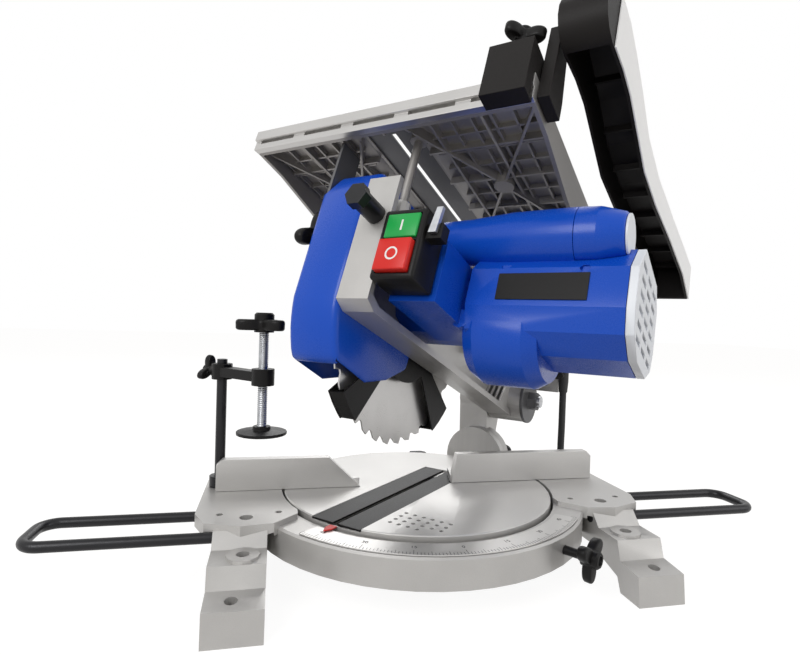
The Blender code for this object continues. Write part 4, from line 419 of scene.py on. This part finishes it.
def softened(node, finish, radius=0.0006, crease=36.0, name=None):
    """Copies a CAD node, welds it, and rounds the edges sharper than `crease` degrees by `radius`."""
    mesh = frame["nodes"][node].data.copy()
    mesh.materials.clear()
    mesh.materials.append(finish)
    work = bmesh.new()
    work.from_mesh(mesh)
    bmesh.ops.remove_doubles(work, verts=work.verts, dist=weld_distance)
    bmesh.ops.dissolve_limit(work, angle_limit=plane_tolerance, verts=work.verts, edges=work.edges)
    work.to_mesh(mesh)
    work.free()
    mesh.shade_smooth()
    mesh.set_sharp_from_angle(angle=math.radians(crease))
    made = bpy.data.objects.new(name or f"{node}_finished", mesh)
    bpy.context.scene.collection.objects.link(made)
    rounding = made.modifiers.new("rounding", "BEVEL")
    rounding.width = radius
    rounding.segments = 2
    rounding.limit_method = "ANGLE"
    rounding.angle_limit = math.radians(crease)
    rounding.harden_normals = True
    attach(made, body_of[node])
    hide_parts(node)
    return made


finish_of = {
    "base_casting": cast, "tilt_bracket": cast, "head_arm": cast,
    "fence_left": bright_cast, "fence_right": bright_cast, "turntable": faced,
    "kerf_plate_left": black, "kerf_plate_right": black, "angle_scale": bright_cast,
    "angle_pointer": red_paint, "turntable_bolt": plated, "hinge_shaft": plated, "hinge_end_cap": dark_cast,
    "arm_stop_post": blackened, "fence_left_screw_inner": blackened, "fence_left_screw_outer": blackened,
    "fence_right_screw_inner": blackened, "fence_right_screw_outer": blackened,
    "clamp_post": blackened, "clamp_arm": black, "clamp_pad": black, "lead_guide_rod": blackened,
    "blade_housing": blue, "motor_housing": blue, "handle_shoulder": blue, "handle_end_disc": pale,
    "motor_end_grille": pale, "blank_plate": black, "switch_box": black,
    "start_button": green, "stop_button": red, "release_lever": plated,
    "saw_blade": ground, "blade_arbor": plated, "lower_guard": black,
    # The upper table takes the darker copy of the cast aluminium: painted shade on its underside.
    "upper_table": painted_shade_cast, "table_rail": bright_cast, "table_insert": dark_cast, "height_strap": dark_cast,
    "fence_block": hood_black, "rip_fence": bright_cast, "hood_bracket": hood_black, "guard_hood": hood_black,
    # The hood's side plate is painted white as a highlight along the hood's edge.
    "hood_side_plate": white, "hood_bolt": plated, "strain_relief": rubber, "lead_tie": black,
    "mains_plug": black,
}
radius_of = {
    "base_casting": 0.0016, "tilt_bracket": 0.0015, "head_arm": 0.0014, "motor_housing": 0.0022,
    "blade_housing": 0.0010, "fence_left": 0.0010, "fence_right": 0.0010, "hood_bracket": 0.0010,
    "guard_hood": 0.0008, "handle_shoulder": 0.0012, "motor_end_grille": 0.0008, "table_rail": 0.0008,
    "upper_table": 0.0008, "saw_blade": 0.0002, "kerf_plate_left": 0.0003, "kerf_plate_right": 0.0003,
    "angle_scale": 0.0002, "angle_pointer": 0.0002, "blank_plate": 0.0002, "hood_side_plate": 0.0004,
}
crease_of = {"base_casting": 22.0, "motor_housing": 28.0, "tilt_bracket": 28.0, "head_arm": 28.0}
dressed = {
    node: softened(node, finish, radius_of.get(node, 0.0005), crease_of.get(node, 36.0))
    for node, finish in finish_of.items()
}
print(f"{len(dressed)} softened pieces")

# %% [markdown]
# ## The mains lead
# Two metres of rubber lead leave the strain relief behind the saw, fall to the bench and are put away in
# a neat round coil with a tie, out of the picture. The free part is a smooth curve through given points.
# The coil is worked out: one layer spirals in, climbs by a diameter in half a turn, and spirals
# out again on top.

# %% The lead's route
cord_radius = 0.0045
cord_place = np.array([0.2206, 0.0693])
relief_bottom = 0.162
coil_centre = np.array([0.174, 0.200])
coil_outer = 0.062
coil_turns = 5.25
coil_points = 24
coil_step = 2 * cord_radius + 0.0007
lead_low = cord_radius + 0.0024
plug_level = 0.0183
plug_tail = 0.060


def smooth_curve(points, between):
    """A Catmull-Rom curve: each stretch is a cubic in t whose ends and slopes come from four points."""
    given = np.asarray(points, float)
    given = np.vstack([2 * given[0] - given[1], given, 2 * given[-1] - given[-2]])
    before, here, after, beyond = given[:-3], given[1:-2], given[2:-1], given[3:]
    t = np.linspace(0.0, 1.0, between, endpoint=False)[:, None, None]
    curve = 0.5 * (
        2 * here + (after - before) * t + (2 * before - 5 * here + 4 * after - beyond) * t**2
        + (3 * here - before - 3 * after + beyond) * t**3
    )
    return np.vstack([curve.transpose(1, 0, 2).reshape(-1, 3), given[-2]])


def free_lead():
    """The hanging part, as shares of the run to the coil and of the fall to the bench."""
    side = coil_centre[0] + coil_outer - cord_place[0]
    run = coil_centre[1] - cord_place[1]
    side_shares = np.array([0, 0, 0, 0, 0.03, 0.12, 0.33, 0.62, 0.87, 1.0, 1.0])
    run_shares = np.array([0, 0, 0, 0.005, 0.01, 0.05, 0.15, 0.32, 0.57, 0.84, 1 - 2 * cord_radius / run])
    fall_shares = np.array([0, 0.14, 0.30, 0.46, 0.61, 0.75, 0.88, 0.97, 1, 1, 1])
    height = relief_bottom - (relief_bottom - lead_low) * fall_shares
    return np.column_stack([cord_place[0] + side * side_shares, cord_place[1] + run * run_shares, height])


def wound_lead():
    """Spiral: radius falls with the turns to half way, then grows; the height eases up by one step there."""
    turns = np.arange(round(coil_turns * coil_points) + 1) / coil_points
    half = coil_turns / 2
    radius = coil_outer - coil_step * (np.minimum(turns, half) - np.maximum(turns - half, 0.0))
    climb = np.clip((turns - half + 0.25) / 0.5, 0.0, 1.0)
    rise = climb**2 * (3 - 2 * climb)
    angle = math.tau * turns
    coil = np.column_stack([
        coil_centre[0] + radius * np.cos(angle), coil_centre[1] + radius * np.sin(angle),
        lead_low + coil_step * rise,
    ])
    share = np.linspace(0.2, 1.0, 5)
    ease = share**2 * (3 - 2 * share)
    tail = coil[-1] + np.column_stack([-plug_tail * share, 0.004 * share, (plug_level - coil[-1, 2]) * ease])
    return np.vstack([coil, tail, tail[-1] - [2 * cord_radius, 0.0, 0.0]])


lead_path = np.vstack([smooth_curve(free_lead(), 12)[:-1], wound_lead()])

# %% The lead as a round tube on that route
lead_curve = bpy.data.curves.new("mains_lead_tube", "CURVE")
lead_curve.dimensions = "3D"
lead_curve.bevel_depth = cord_radius
lead_curve.bevel_resolution = 4
lead_curve.use_fill_caps = True
spline = lead_curve.splines.new("POLY")
spline.points.add(len(lead_path) - 1)
spline.points.foreach_set("co", np.column_stack([lead_path, np.ones(len(lead_path))]).ravel())
spline.use_smooth = True
lead_curve.materials.append(rubber)
lead = bpy.data.objects.new("mains_lead_and_coil", lead_curve)
bpy.context.scene.collection.objects.link(lead)
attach(lead, "turn")
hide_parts("mains_lead", "lead_coil")

# %% [markdown]
# ## Surfaces on a grid
# The finer pieces are surfaces of two parameters. A function works out the whole grid of points at once,
# and one helper turns any grid into a mesh: neighbours in the grid become the corners of a face, and
# columns that wrap round close a tube or a turned form. Rows that shrink to a point close the ends.

# %% Grid to mesh, and meshes to pieces
def grid_faces(rows, columns):
    """Corner numbers of the faces between neighbouring rows and columns; the last column meets the first."""
    low = np.arange(rows - 1)[:, None] * columns
    here = np.arange(columns)[None, :]
    after = (here + 1) % columns
    corners = [low + here, low + after, low + columns + after, low + columns + here]
    return np.stack(corners, axis=-1).reshape(-1, 4)


def piece(name, grids, finish, body, slot, crease=40.0):
    """One object from several closed grids, each rows x columns x 3: doubles merged, faces outwards."""
    mesh = bpy.data.meshes.new(name)
    points = np.vstack([grid.reshape(-1, 3) for grid in grids])
    starts = np.cumsum([0] + [grid.shape[0] * grid.shape[1] for grid in grids])
    faces = np.vstack([grid_faces(*grid.shape[:2]) + start for grid, start in zip(grids, starts)])
    mesh.from_pydata(points.tolist(), [], faces.tolist())
    work = bmesh.new()
    work.from_mesh(mesh)
    bmesh.ops.remove_doubles(work, verts=work.verts, dist=weld_distance / 4)
    bmesh.ops.recalc_face_normals(work, faces=work.faces)
    work.to_mesh(mesh)
    work.free()
    mesh.shade_smooth()
    mesh.set_sharp_from_angle(angle=math.radians(crease))
    mesh.materials.append(finish)
    made = bpy.data.objects.new(name, mesh)
    bpy.context.scene.collection.objects.link(made)
    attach(made, body)
    return made


def turned(profile, columns, origin=base_origin, axes=base_axes):
    """A turned form: each (radius, height) of the profile goes round as r cos a, r sin a, height."""
    profile = np.asarray(profile, float)
    angle = np.arange(columns) * math.tau / columns
    ring = np.stack([np.cos(angle), np.sin(angle)], axis=-1)
    flat = profile[:, None, :1] * ring[None]
    height = np.broadcast_to(profile[:, None, 1:], flat.shape[:2] + (1,))
    return placed(np.concatenate([flat, height], axis=-1), origin, axes)


def boxes(centres, rights, backs, ups):
    """Closed boxes: each has a centre and three half-side vectors, one row of each array a box."""
    signs = np.array([[-1, -1], [1, -1], [1, 1], [-1, 1]], float)
    flat = signs[None, :, :1] * rights[:, None] + signs[None, :, 1:] * backs[:, None]
    low = centres[:, None] - ups[:, None] + flat
    high = centres[:, None] + ups[:, None] + flat
    ends = [np.repeat(ring.mean(axis=1, keepdims=True), 4, axis=1) for ring in (low, high)]
    return list(np.stack([ends[0], low, high, ends[1]], axis=1))


print("grid helpers ready")

# %% [markdown]
# ## Lobed knobs
# Seven knobs lock the saw's movements. Each is a thick three-lobed moulding on a round hub, with a steel
# stem. The lobes are one formula: the rim's distance swells three times round. Rounding comes from a
# profile that says, from the underside up, what share of the rim is reached and how far it is drawn in.
# Each knob's size and place are read from its CAD node, by measuring that node along and across the
# knob's own axis.

# %% Knobs
lobe_columns = 96
lobe_sharpness = 1.4
pillow_share = 0.30
knob_axes = {
    "mitre_lock_knob": ((0.0, 0.0, 0.046), [(0, 0, -1), (0.81915, 0.57358, 0), (0.57358, -0.81915, 0)]),
    "tilt_lock_knob": ((0.0, 0.0, 0.0653), [turn_axes[0], -turn_axes[2], turn_axes[1]]),
    "depth_stop_knob": ((0.18455, 0.05303, 0.186), [turn_axes[0], turn_axes[2], -turn_axes[1]]),
    "height_lock_knob": ((-0.08355, -0.08355, 0.33824), [head_axes[2], head_axes[1], -head_axes[0]]),
    "fence_block_knob": ((0.02975, -0.1698, 0.46101), [head_axes[0], head_axes[1], head_axes[2]]),
    "clamp_knob": ((-0.175, -0.034, 0.0), [(0.64018, -0.76822, 0), (0.76822, 0.64018, 0), (0, 0, 1)]),
    "clamp_wing_knob": ((-0.220, 0.020, 0.1925), [(0, 0, 1), (0.76822, 0.64018, 0), (-0.64018, 0.76822, 0)]),
}


def lobed_grid(tip, valley, low, high, origin, axes):
    """Rim distance valley + (tip - valley) (half + half cos 3a)^sharpness, drawn in towards both faces."""
    angle = np.arange(lobe_columns) * math.tau / lobe_columns
    rim = valley + (tip - valley) * (0.5 + 0.5 * np.cos(3 * angle)) ** lobe_sharpness
    tilt = np.linspace(-math.pi / 2, math.pi / 2, 9)
    round_edge = (high - low) * pillow_share
    drawn_in = np.concatenate([[0], round_edge * (1 - np.cos(tilt)), [0]])
    share = np.concatenate([[0], np.ones(9), [0]])
    middle = np.where(tilt < 0, low + round_edge, high - round_edge)
    height = np.concatenate([[low], middle + round_edge * np.sin(tilt), [high]])
    radius = share[:, None] * (rim[None] - drawn_in[:, None])
    level = np.broadcast_to(height[:, None], radius.shape)
    local = np.stack([radius * np.cos(angle), radius * np.sin(angle), level], -1)
    return placed(local, origin, axes)


def lobed_knob(node, valley_share=0.36, hub_share=0.35):
    """A knob measured from its CAD node: lobes, a domed hub and a stem."""
    origin, axes = (np.asarray(part, float) for part in knob_axes[node])
    vertices = frame["nodes"][node].data.vertices
    corners = np.empty(len(vertices) * 3)
    vertices.foreach_get("co", corners)
    local = (corners.reshape(-1, 3) - origin) @ axes.T
    across = np.hypot(local[:, 0], local[:, 1])
    tip = across.max()
    bottom, top = local[:, 2].min(), local[:, 2].max()
    stem = across[local[:, 2] < bottom + 0.0001].max()
    rim_low = local[across > tip * 0.9, 2].min()
    rim_high = local[across > tip * 0.9, 2].max()
    hub = tip * hub_share
    edge = hub * 0.2
    profile = [
        (0, rim_low - edge), (hub, rim_low - edge), (hub, top - edge), (hub - edge, top),
        (hub * 0.55, top), (hub * 0.5, top - edge), (0, top - edge),
    ]
    grids = [
        lobed_grid(tip, tip * valley_share, rim_low, rim_high, origin, axes),
        turned(profile, 32, origin, axes),
    ]
    if bottom < rim_low - 2 * edge:
        grids.append(turned([(0, bottom), (stem, bottom), (stem, rim_low), (0, rim_low)], 24, origin, axes))
    made = piece(f"{node}_moulded", grids, black, body_of[node], slot_of[node])
    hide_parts(node)
    return made


knobs = [lobed_knob(node) for node in knob_axes]
print(f"{len(knobs)} knobs of {len(knobs[0].data.polygons)} faces")

# %% [markdown]
# ## The clamp screw
# The clamp's screw has a real thread, which shows well against the white background. A screw thread is
# one formula: the radius depends only on how far a point lies along the helix, so the profile is a
# triangle wave of height and angle together.

# %% Threaded rod of the clamp
screw_pitch = 0.0020
thread_depth = 0.0008
screw_origin, screw_axes = (np.asarray(part, float) for part in knob_axes["clamp_knob"])


def thread_grid(radius, low, high, columns=28, rows_per_pitch=8):
    """Radius less depth times |2 fraction(height / pitch - angle / turn) - 1|, plain at both ends."""
    height = np.linspace(low, high, round((high - low) / screw_pitch * rows_per_pitch))
    angle = np.arange(columns) * math.tau / columns
    phase = height[:, None] / screw_pitch - angle[None] / math.tau
    wave = np.abs(2 * (phase - np.floor(phase)) - 1)
    r = radius - thread_depth * wave
    local = np.stack([r * np.cos(angle), r * np.sin(angle), np.broadcast_to(height[:, None], r.shape)], -1)
    ends = [np.broadcast_to([0.0, 0.0, z], (1, columns, 3)) for z in (low, high)]
    return placed(np.concatenate([ends[0], local, ends[1]]), screw_origin, screw_axes)


screw_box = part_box("clamp_screw")
screw_radius = 0.0052
clamp_screw = piece(
    "clamp_screw_threaded", [thread_grid(screw_radius, screw_box[0].z, screw_box[1].z)], plated,
    body_of["clamp_screw"], slot_of["clamp_screw"],
)
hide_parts("clamp_screw")
print(f"{(screw_box[1].z - screw_box[0].z) / screw_pitch:.0f} turns of thread")

# %% [markdown]
# ## Extension bars
# A bent round rod on each side supports long work. It is a circle carried along a flat path: at each
# point of the path the circle stands across the path's direction, which is the same as adding a sideways
# part and an upward part.

# %% Extension bars
rod_radius = 0.005
bar_corner = 0.017
bar_height = 0.053
bar_reach = 0.378 - rod_radius
bar_inset = 0.0012
bar_front, bar_rear = -0.094, -0.038
bar_starts = (0.164, 0.184)


def bar_path(side):
    """Out along the front, round two quarter circles and back in along the rear."""
    bend = np.linspace(-math.pi / 2, 0, 14)
    corner = np.column_stack([np.cos(bend), np.sin(bend)]) * bar_corner
    out = corner + [bar_reach - bar_corner, bar_front + bar_corner]
    home = corner[::-1] * [1, -1] + [bar_reach - bar_corner, bar_rear - bar_corner]
    first = [bar_starts[0] + bar_inset, bar_front]
    last = [bar_starts[1] + bar_inset, bar_rear]
    flat = np.vstack([first, out, home, last]) * [side, 1]
    return np.column_stack([flat, np.full(len(flat), bar_height)])


def rod_grid(path, radius, columns=24, up=(0.0, 0.0, 1.0)):
    """Path plus radius (cos a side + sin a up), with side across the path's direction; both ends closed."""
    direction = np.gradient(path, axis=0)
    direction /= np.linalg.norm(direction, axis=1, keepdims=True)
    side = np.cross(direction, up)
    side /= np.linalg.norm(side, axis=1, keepdims=True)
    over = np.cross(side, direction)
    angle = np.arange(columns)[None, :, None] * math.tau / columns
    rings = path[:, None] + radius * (np.cos(angle) * side[:, None] + np.sin(angle) * over[:, None])
    ends = [np.broadcast_to(point, (1, columns, 3)) for point in (path[0], path[-1])]
    return np.concatenate([ends[0], rings, ends[1]])


for side, node in ((-1, "extension_bar_left"), (1, "extension_bar_right")):
    rod = rod_grid(bar_path(side), rod_radius)
    bar = piece(f"{node}_bent", [rod], blackened, body_of[node], slot_of[node])
    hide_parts(node)
print("two bent bars")

# %% [markdown]
# ## The angle scale
# The ring in front of the turntable carries a scale from 45 degrees left to 45 degrees right: a short
# line for each degree, a longer one for each fifth and the longest for each fifteenth, with plain
# numbers. The lines are thin boxes, all placed at once by arrays of centres and directions.

# %% Scale lines
scale_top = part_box("angle_scale")[1].z
line_height = 0.00008
line_half_width = 0.00022
line_rim = 0.1798
degrees = np.arange(-50, 51)
line_length = np.select([degrees % 15 == 0, degrees % 5 == 0], [0.0085, 0.0062], 0.0040)
azimuth = np.radians(degrees - 90.0)
outwards = np.column_stack([np.cos(azimuth), np.sin(azimuth), np.zeros(len(azimuth))])
sideways = np.column_stack([-np.sin(azimuth), np.cos(azimuth), np.zeros(len(azimuth))])
centres = outwards * (line_rim - line_length[:, None] / 2) + [0.0, 0.0, scale_top]
line_rises = np.tile([0.0, 0.0, line_height], (len(centres), 1))
line_halves = outwards * line_length[:, None] / 2
piece(
    "scale_lines", boxes(centres, line_halves, sideways * line_half_width, line_rises),
    ink, "base", slot_of["angle_scale"],
)
print(f"{len(degrees)} scale lines")

# %% Scale numbers
number_height = 0.0062
number_radius = 0.1655


def number(text, angle_deg):
    """A number lying on the scale, made a mesh and then placed with its foot towards the front."""
    writing = bpy.data.curves.new(f"number_{text}_{angle_deg}", "FONT")
    writing.body = text
    writing.size = number_height
    writing.align_x = "CENTER"
    writing.align_y = "CENTER"
    writing.extrude = line_height
    held = bpy.data.objects.new(writing.name, writing)
    bpy.context.scene.collection.objects.link(held)
    mesh = bpy.data.meshes.new_from_object(held.evaluated_get(bpy.context.evaluated_depsgraph_get()))
    bpy.data.objects.remove(held)
    points = np.empty(len(mesh.vertices) * 3)
    mesh.vertices.foreach_get("co", points)
    turn = math.radians(angle_deg)
    axes = np.array([[math.cos(turn), math.sin(turn), 0], [-math.sin(turn), math.cos(turn), 0], [0, 0, 1]])
    centre = np.array([math.sin(turn), -math.cos(turn), 0]) * number_radius + [0, 0, scale_top]
    mesh.vertices.foreach_set("co", placed(points.reshape(-1, 3), centre, axes).ravel())
    mesh.materials.clear()
    mesh.materials.append(ink)
    made = bpy.data.objects.new(f"scale_number_{angle_deg}", mesh)
    bpy.context.scene.collection.objects.link(made)
    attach(made, "base")
    return made


numbers = [number(str(abs(angle)), angle) for angle in range(-45, 46, 15)]
print(f"{len(numbers)} scale numbers")

# %% [markdown]
# ## Anti-slip dimples
# Right of the blade slot the table is pitted so that the work doesn't slip. The pits are darker than the
# table face: each one gets a thin dark disc at its floor. Each disc is a fan of points round its centre,
# and the whole pattern is one array.

# %% Dark dimples
dimple_pitch = 0.0098
dimple_radius = 0.0023
table_face = 0.0653
dimple_floor = table_face - 0.0009
dimple_corner = (0.040, -0.116)
dimple_field = 0.150
dimple_lift = 0.00006
across, along = np.meshgrid(np.arange(6), np.arange(4), indexing="ij")
dimple_x = dimple_corner[0] + dimple_pitch * across.ravel()
dimple_y = dimple_corner[1] + dimple_pitch * along.ravel()
inside = np.hypot(dimple_x, dimple_y) < dimple_field - dimple_pitch
dimple_ring = dimple_radius * 0.96
piece(
    "dimple_floors",
    [
        turned(
            [(0, dimple_floor), (dimple_ring, dimple_floor), (dimple_ring, dimple_floor + dimple_lift),
             (0, dimple_floor + dimple_lift)],
            6, np.array([x, y, 0.0]) @ turn_axes, turn_axes,
        )
        for x, y in zip(dimple_x[inside], dimple_y[inside])
    ],
    blackened, "turn", slot_of["turntable"],
)
print(f"{inside.sum()} dimples")

# %% [markdown]
# ## Marks on the buttons
# The green start button carries a line and the red stop button a ring, the usual signs for on and off.
# The ring is a torus: a small circle carried round a larger one.

# %% Start and stop marks
switch_middle = 0.069
start_face = np.array([switch_middle, -0.396 - 0.0015, 0.0431])
stop_face = np.array([switch_middle, -0.396 - 0.0060, 0.0140])
mark_height = 0.0001
mark_half_width, mark_half_height = 0.0009, 0.0050
mark_radius, mark_band = 0.0052, 0.0008
piece(
    "start_mark",
    boxes(
        placed([start_face], head_origin, head_axes), head_axes[:1] * mark_half_width,
        head_axes[2:] * mark_half_height, head_axes[1:2] * mark_height,
    ),
    white_ink, "start_button", slot_of["start_button"],
)


def ring_grid(centre, radius, half_width, columns=48):
    """A flat-topped ring: four corners of its cross-section, each carried round at its own radius."""
    section = np.array([[-1, -1], [1, -1], [1, 1], [-1, 1], [-1, -1]], float) * [half_width, mark_height]
    angle = np.arange(columns) * math.tau / columns
    r = radius + section[:, :1]
    depth = np.broadcast_to(section[:, 1:], (5, columns))
    local = np.stack([r * np.cos(angle), depth, r * np.sin(angle)], -1)
    return placed(local + centre, head_origin, head_axes)


stop_ring = ring_grid(stop_face, mark_radius, mark_band)
piece("stop_mark", [stop_ring], white_ink, "stop_button", slot_of["stop_button"])
print("start and stop marks")

# %% [markdown]
# ## Painted shade in the air slots of the motor's end cover
# The pale end cover is pierced by three columns of short slots, through which the shaded fan chamber shows.
# That shade is painted: each slot holds a thin black box laid in the cover's face, and a grid of columns
# and rows places all of them.

# %% Painted shade in the end cover's slots
motor_middle = np.array([0.0, -0.262, 0.021])
cover_face = 0.2415
slot_pitch = 0.031
slot_span = 0.034
slot_halves = (0.00012, 0.0105, 0.0019)
slot_backs, slot_rises = np.meshgrid(
    slot_pitch * np.arange(-1, 2), np.linspace(-slot_span, slot_span, 10), indexing="ij"
)
slot_centres = np.column_stack([
    np.full(slot_backs.size, cover_face),
    motor_middle[1] + slot_backs.ravel(), motor_middle[2] + slot_rises.ravel(),
])
count = len(slot_centres)
slot_sides = [np.tile(axis * half, (count, 1)) for axis, half in zip(head_axes, slot_halves)]
# Thin black boxes: painted shade in the slots.
piece(
    "air_slot_painted_shade", boxes(placed(slot_centres, head_origin, head_axes), *slot_sides),
    black, "head", slot_of["motor_end_grille"],
)
print(f"{count} air slots")

# %% [markdown]
# ## Ribs under the upper table
# The underside of the cast table is a web of low ribs: a square grid with round bosses from which
# diagonal ribs run. A rib is a thin box between two points of the underside, so one helper makes a whole
# list of them at once.

# %% Ribs
rib_top = -0.0045
rib_depth = 0.0060
rib_half = 0.0011


def ribs(starts, ends):
    """Thin boxes from each start to each end, hanging from the plate by the ribs' depth."""
    starts, ends = np.asarray(starts, float), np.asarray(ends, float)
    along = (ends - starts) / 2
    across = np.column_stack([-along[:, 1], along[:, 0]])
    across *= rib_half / np.linalg.norm(across, axis=1, keepdims=True)
    middle = np.column_stack([(starts + ends) / 2, np.full(len(starts), rib_top - rib_depth / 2)])
    flat = [np.column_stack([side, np.zeros(len(side))]) @ head_axes for side in (along, across)]
    rise = np.tile(head_axes[2] * rib_depth / 2, (len(starts), 1))
    return boxes(placed(middle, table_origin, head_axes), flat[0], flat[1], rise)


right_lines = np.arange(0.052, 0.156, 0.0205)
cross_lines = np.arange(0.022, 0.320, 0.0245)
web_front, web_rear = 0.016, 0.322
web_inner, web_outer = 0.040, 0.158
starts = [(x, web_front) for x in right_lines] + [(web_inner, y) for y in cross_lines]
ends = [(x, web_rear) for x in right_lines] + [(web_outer, y) for y in cross_lines]
starts += [(-x, web_front) for x in right_lines] + [(-web_outer, y) for y in cross_lines]
ends += [(-x, web_rear) for x in right_lines] + [(-web_inner, y) for y in cross_lines]
# The ribs take the darker copy of the cast aluminium: painted shade under the table.
piece("table_rib_web", ribs(starts, ends), painted_shade_cast, "table", slot_of["upper_table"])
print(f"{len(starts)} ribs under the table")

# %% [markdown]
# ## The studio
# The saw stands on a plain white floor in a white room. Three large soft lamps give broad highlights on
# the blue mouldings and keep the shadows open. The floor and the room look white to the camera and in
# reflections, but light the object only a little, so the metal keeps its contrast and a soft shadow stays
# under the feet.

# %% White room
def seen_white(graph):
    """1 for rays from the camera, from a reflection or through glass, which are to see plain white."""
    rays = [graph.node("ShaderNodeLightPath", {}, {}, name) for name in (
        "Is Camera Ray", "Is Glossy Ray", "Is Transmission Ray"
    )]
    return rays[0].larger(rays[1]).larger(rays[2])


def white_room():
    """A world that is white to look at and dimmer as a source of light."""
    world = bpy.data.worlds.new("white_room")
    world.use_nodes = True
    bpy.context.scene.world = world
    graph = Graph(world.node_tree)
    graph.tree.nodes.clear()
    shown = graph.node("ShaderNodeBackground", {}, {"Strength": 1.0, "Color": (1.0, 1.0, 1.0, 1.0)})
    light = graph.node("ShaderNodeBackground", {}, {"Strength": 0.42, "Color": (1.0, 0.985, 0.965, 1.0)})
    both = graph.node("ShaderNodeMixShader", {}, {0: seen_white(graph), 1: light, 2: shown})
    graph.node("ShaderNodeOutputWorld", {}, {"Surface": both})


white_room()
bpy.context.scene.view_settings.view_transform = "Standard"
print("white room")

# %% Floor
floor_size = 6.0
floor_mesh = bpy.data.meshes.new("studio_floor")
corners = np.array([[-1, -1, 0], [1, -1, 0], [1, 1, 0], [-1, 1, 0]]) * floor_size
floor_mesh.from_pydata(corners.tolist(), [], [(0, 1, 2, 3)])
floor = bpy.data.objects.new("studio_floor", floor_mesh)
bpy.context.scene.collection.objects.link(floor)
floor_look = bpy.data.materials.new("white_floor")
floor_look.use_nodes = True
floor_graph = Graph(floor_look.node_tree)
floor_graph.tree.nodes.clear()
glow_strength = 1.52
glow_share = 0.60
paint = floor_graph.node("ShaderNodeBsdfDiffuse", {}, {"Color": (0.46, 0.44, 0.42, 1.0)})
glow = floor_graph.node("ShaderNodeEmission", {}, {"Strength": glow_strength})
share = seen_white(floor_graph) * glow_share
both = floor_graph.node("ShaderNodeMixShader", {}, {0: share, 1: paint, 2: glow})
floor_graph.node("ShaderNodeOutputMaterial", {}, {"Surface": both})
floor_mesh.materials.append(floor_look)
print("floor, kept for the shadow")


# %% Lamps
def soft_lamp(name, place, size, power, aim=(0.0, 0.0, 0.22)):
    """A square area lamp that faces the aim."""
    light = bpy.data.lights.new(name, "AREA")
    light.size = size
    light.energy = power
    lamp = bpy.data.objects.new(name, light)
    lamp.location = place
    away = np.asarray(place, float) - aim
    flat = math.hypot(away[0], away[1])
    lamp.rotation_euler = (math.atan2(flat, away[2]), 0.0, math.atan2(away[0], -away[1]))
    bpy.context.scene.collection.objects.link(lamp)
    return lamp


soft_lamp("key_lamp", (-1.3, -1.3, 1.3), 1.0, 23)
soft_lamp("fill_lamp", (1.5, -1.1, 0.9), 1.2, 9)
soft_lamp("back_lamp", (0.3, 1.5, 1.4), 1.0, 14)
print("three lamps")
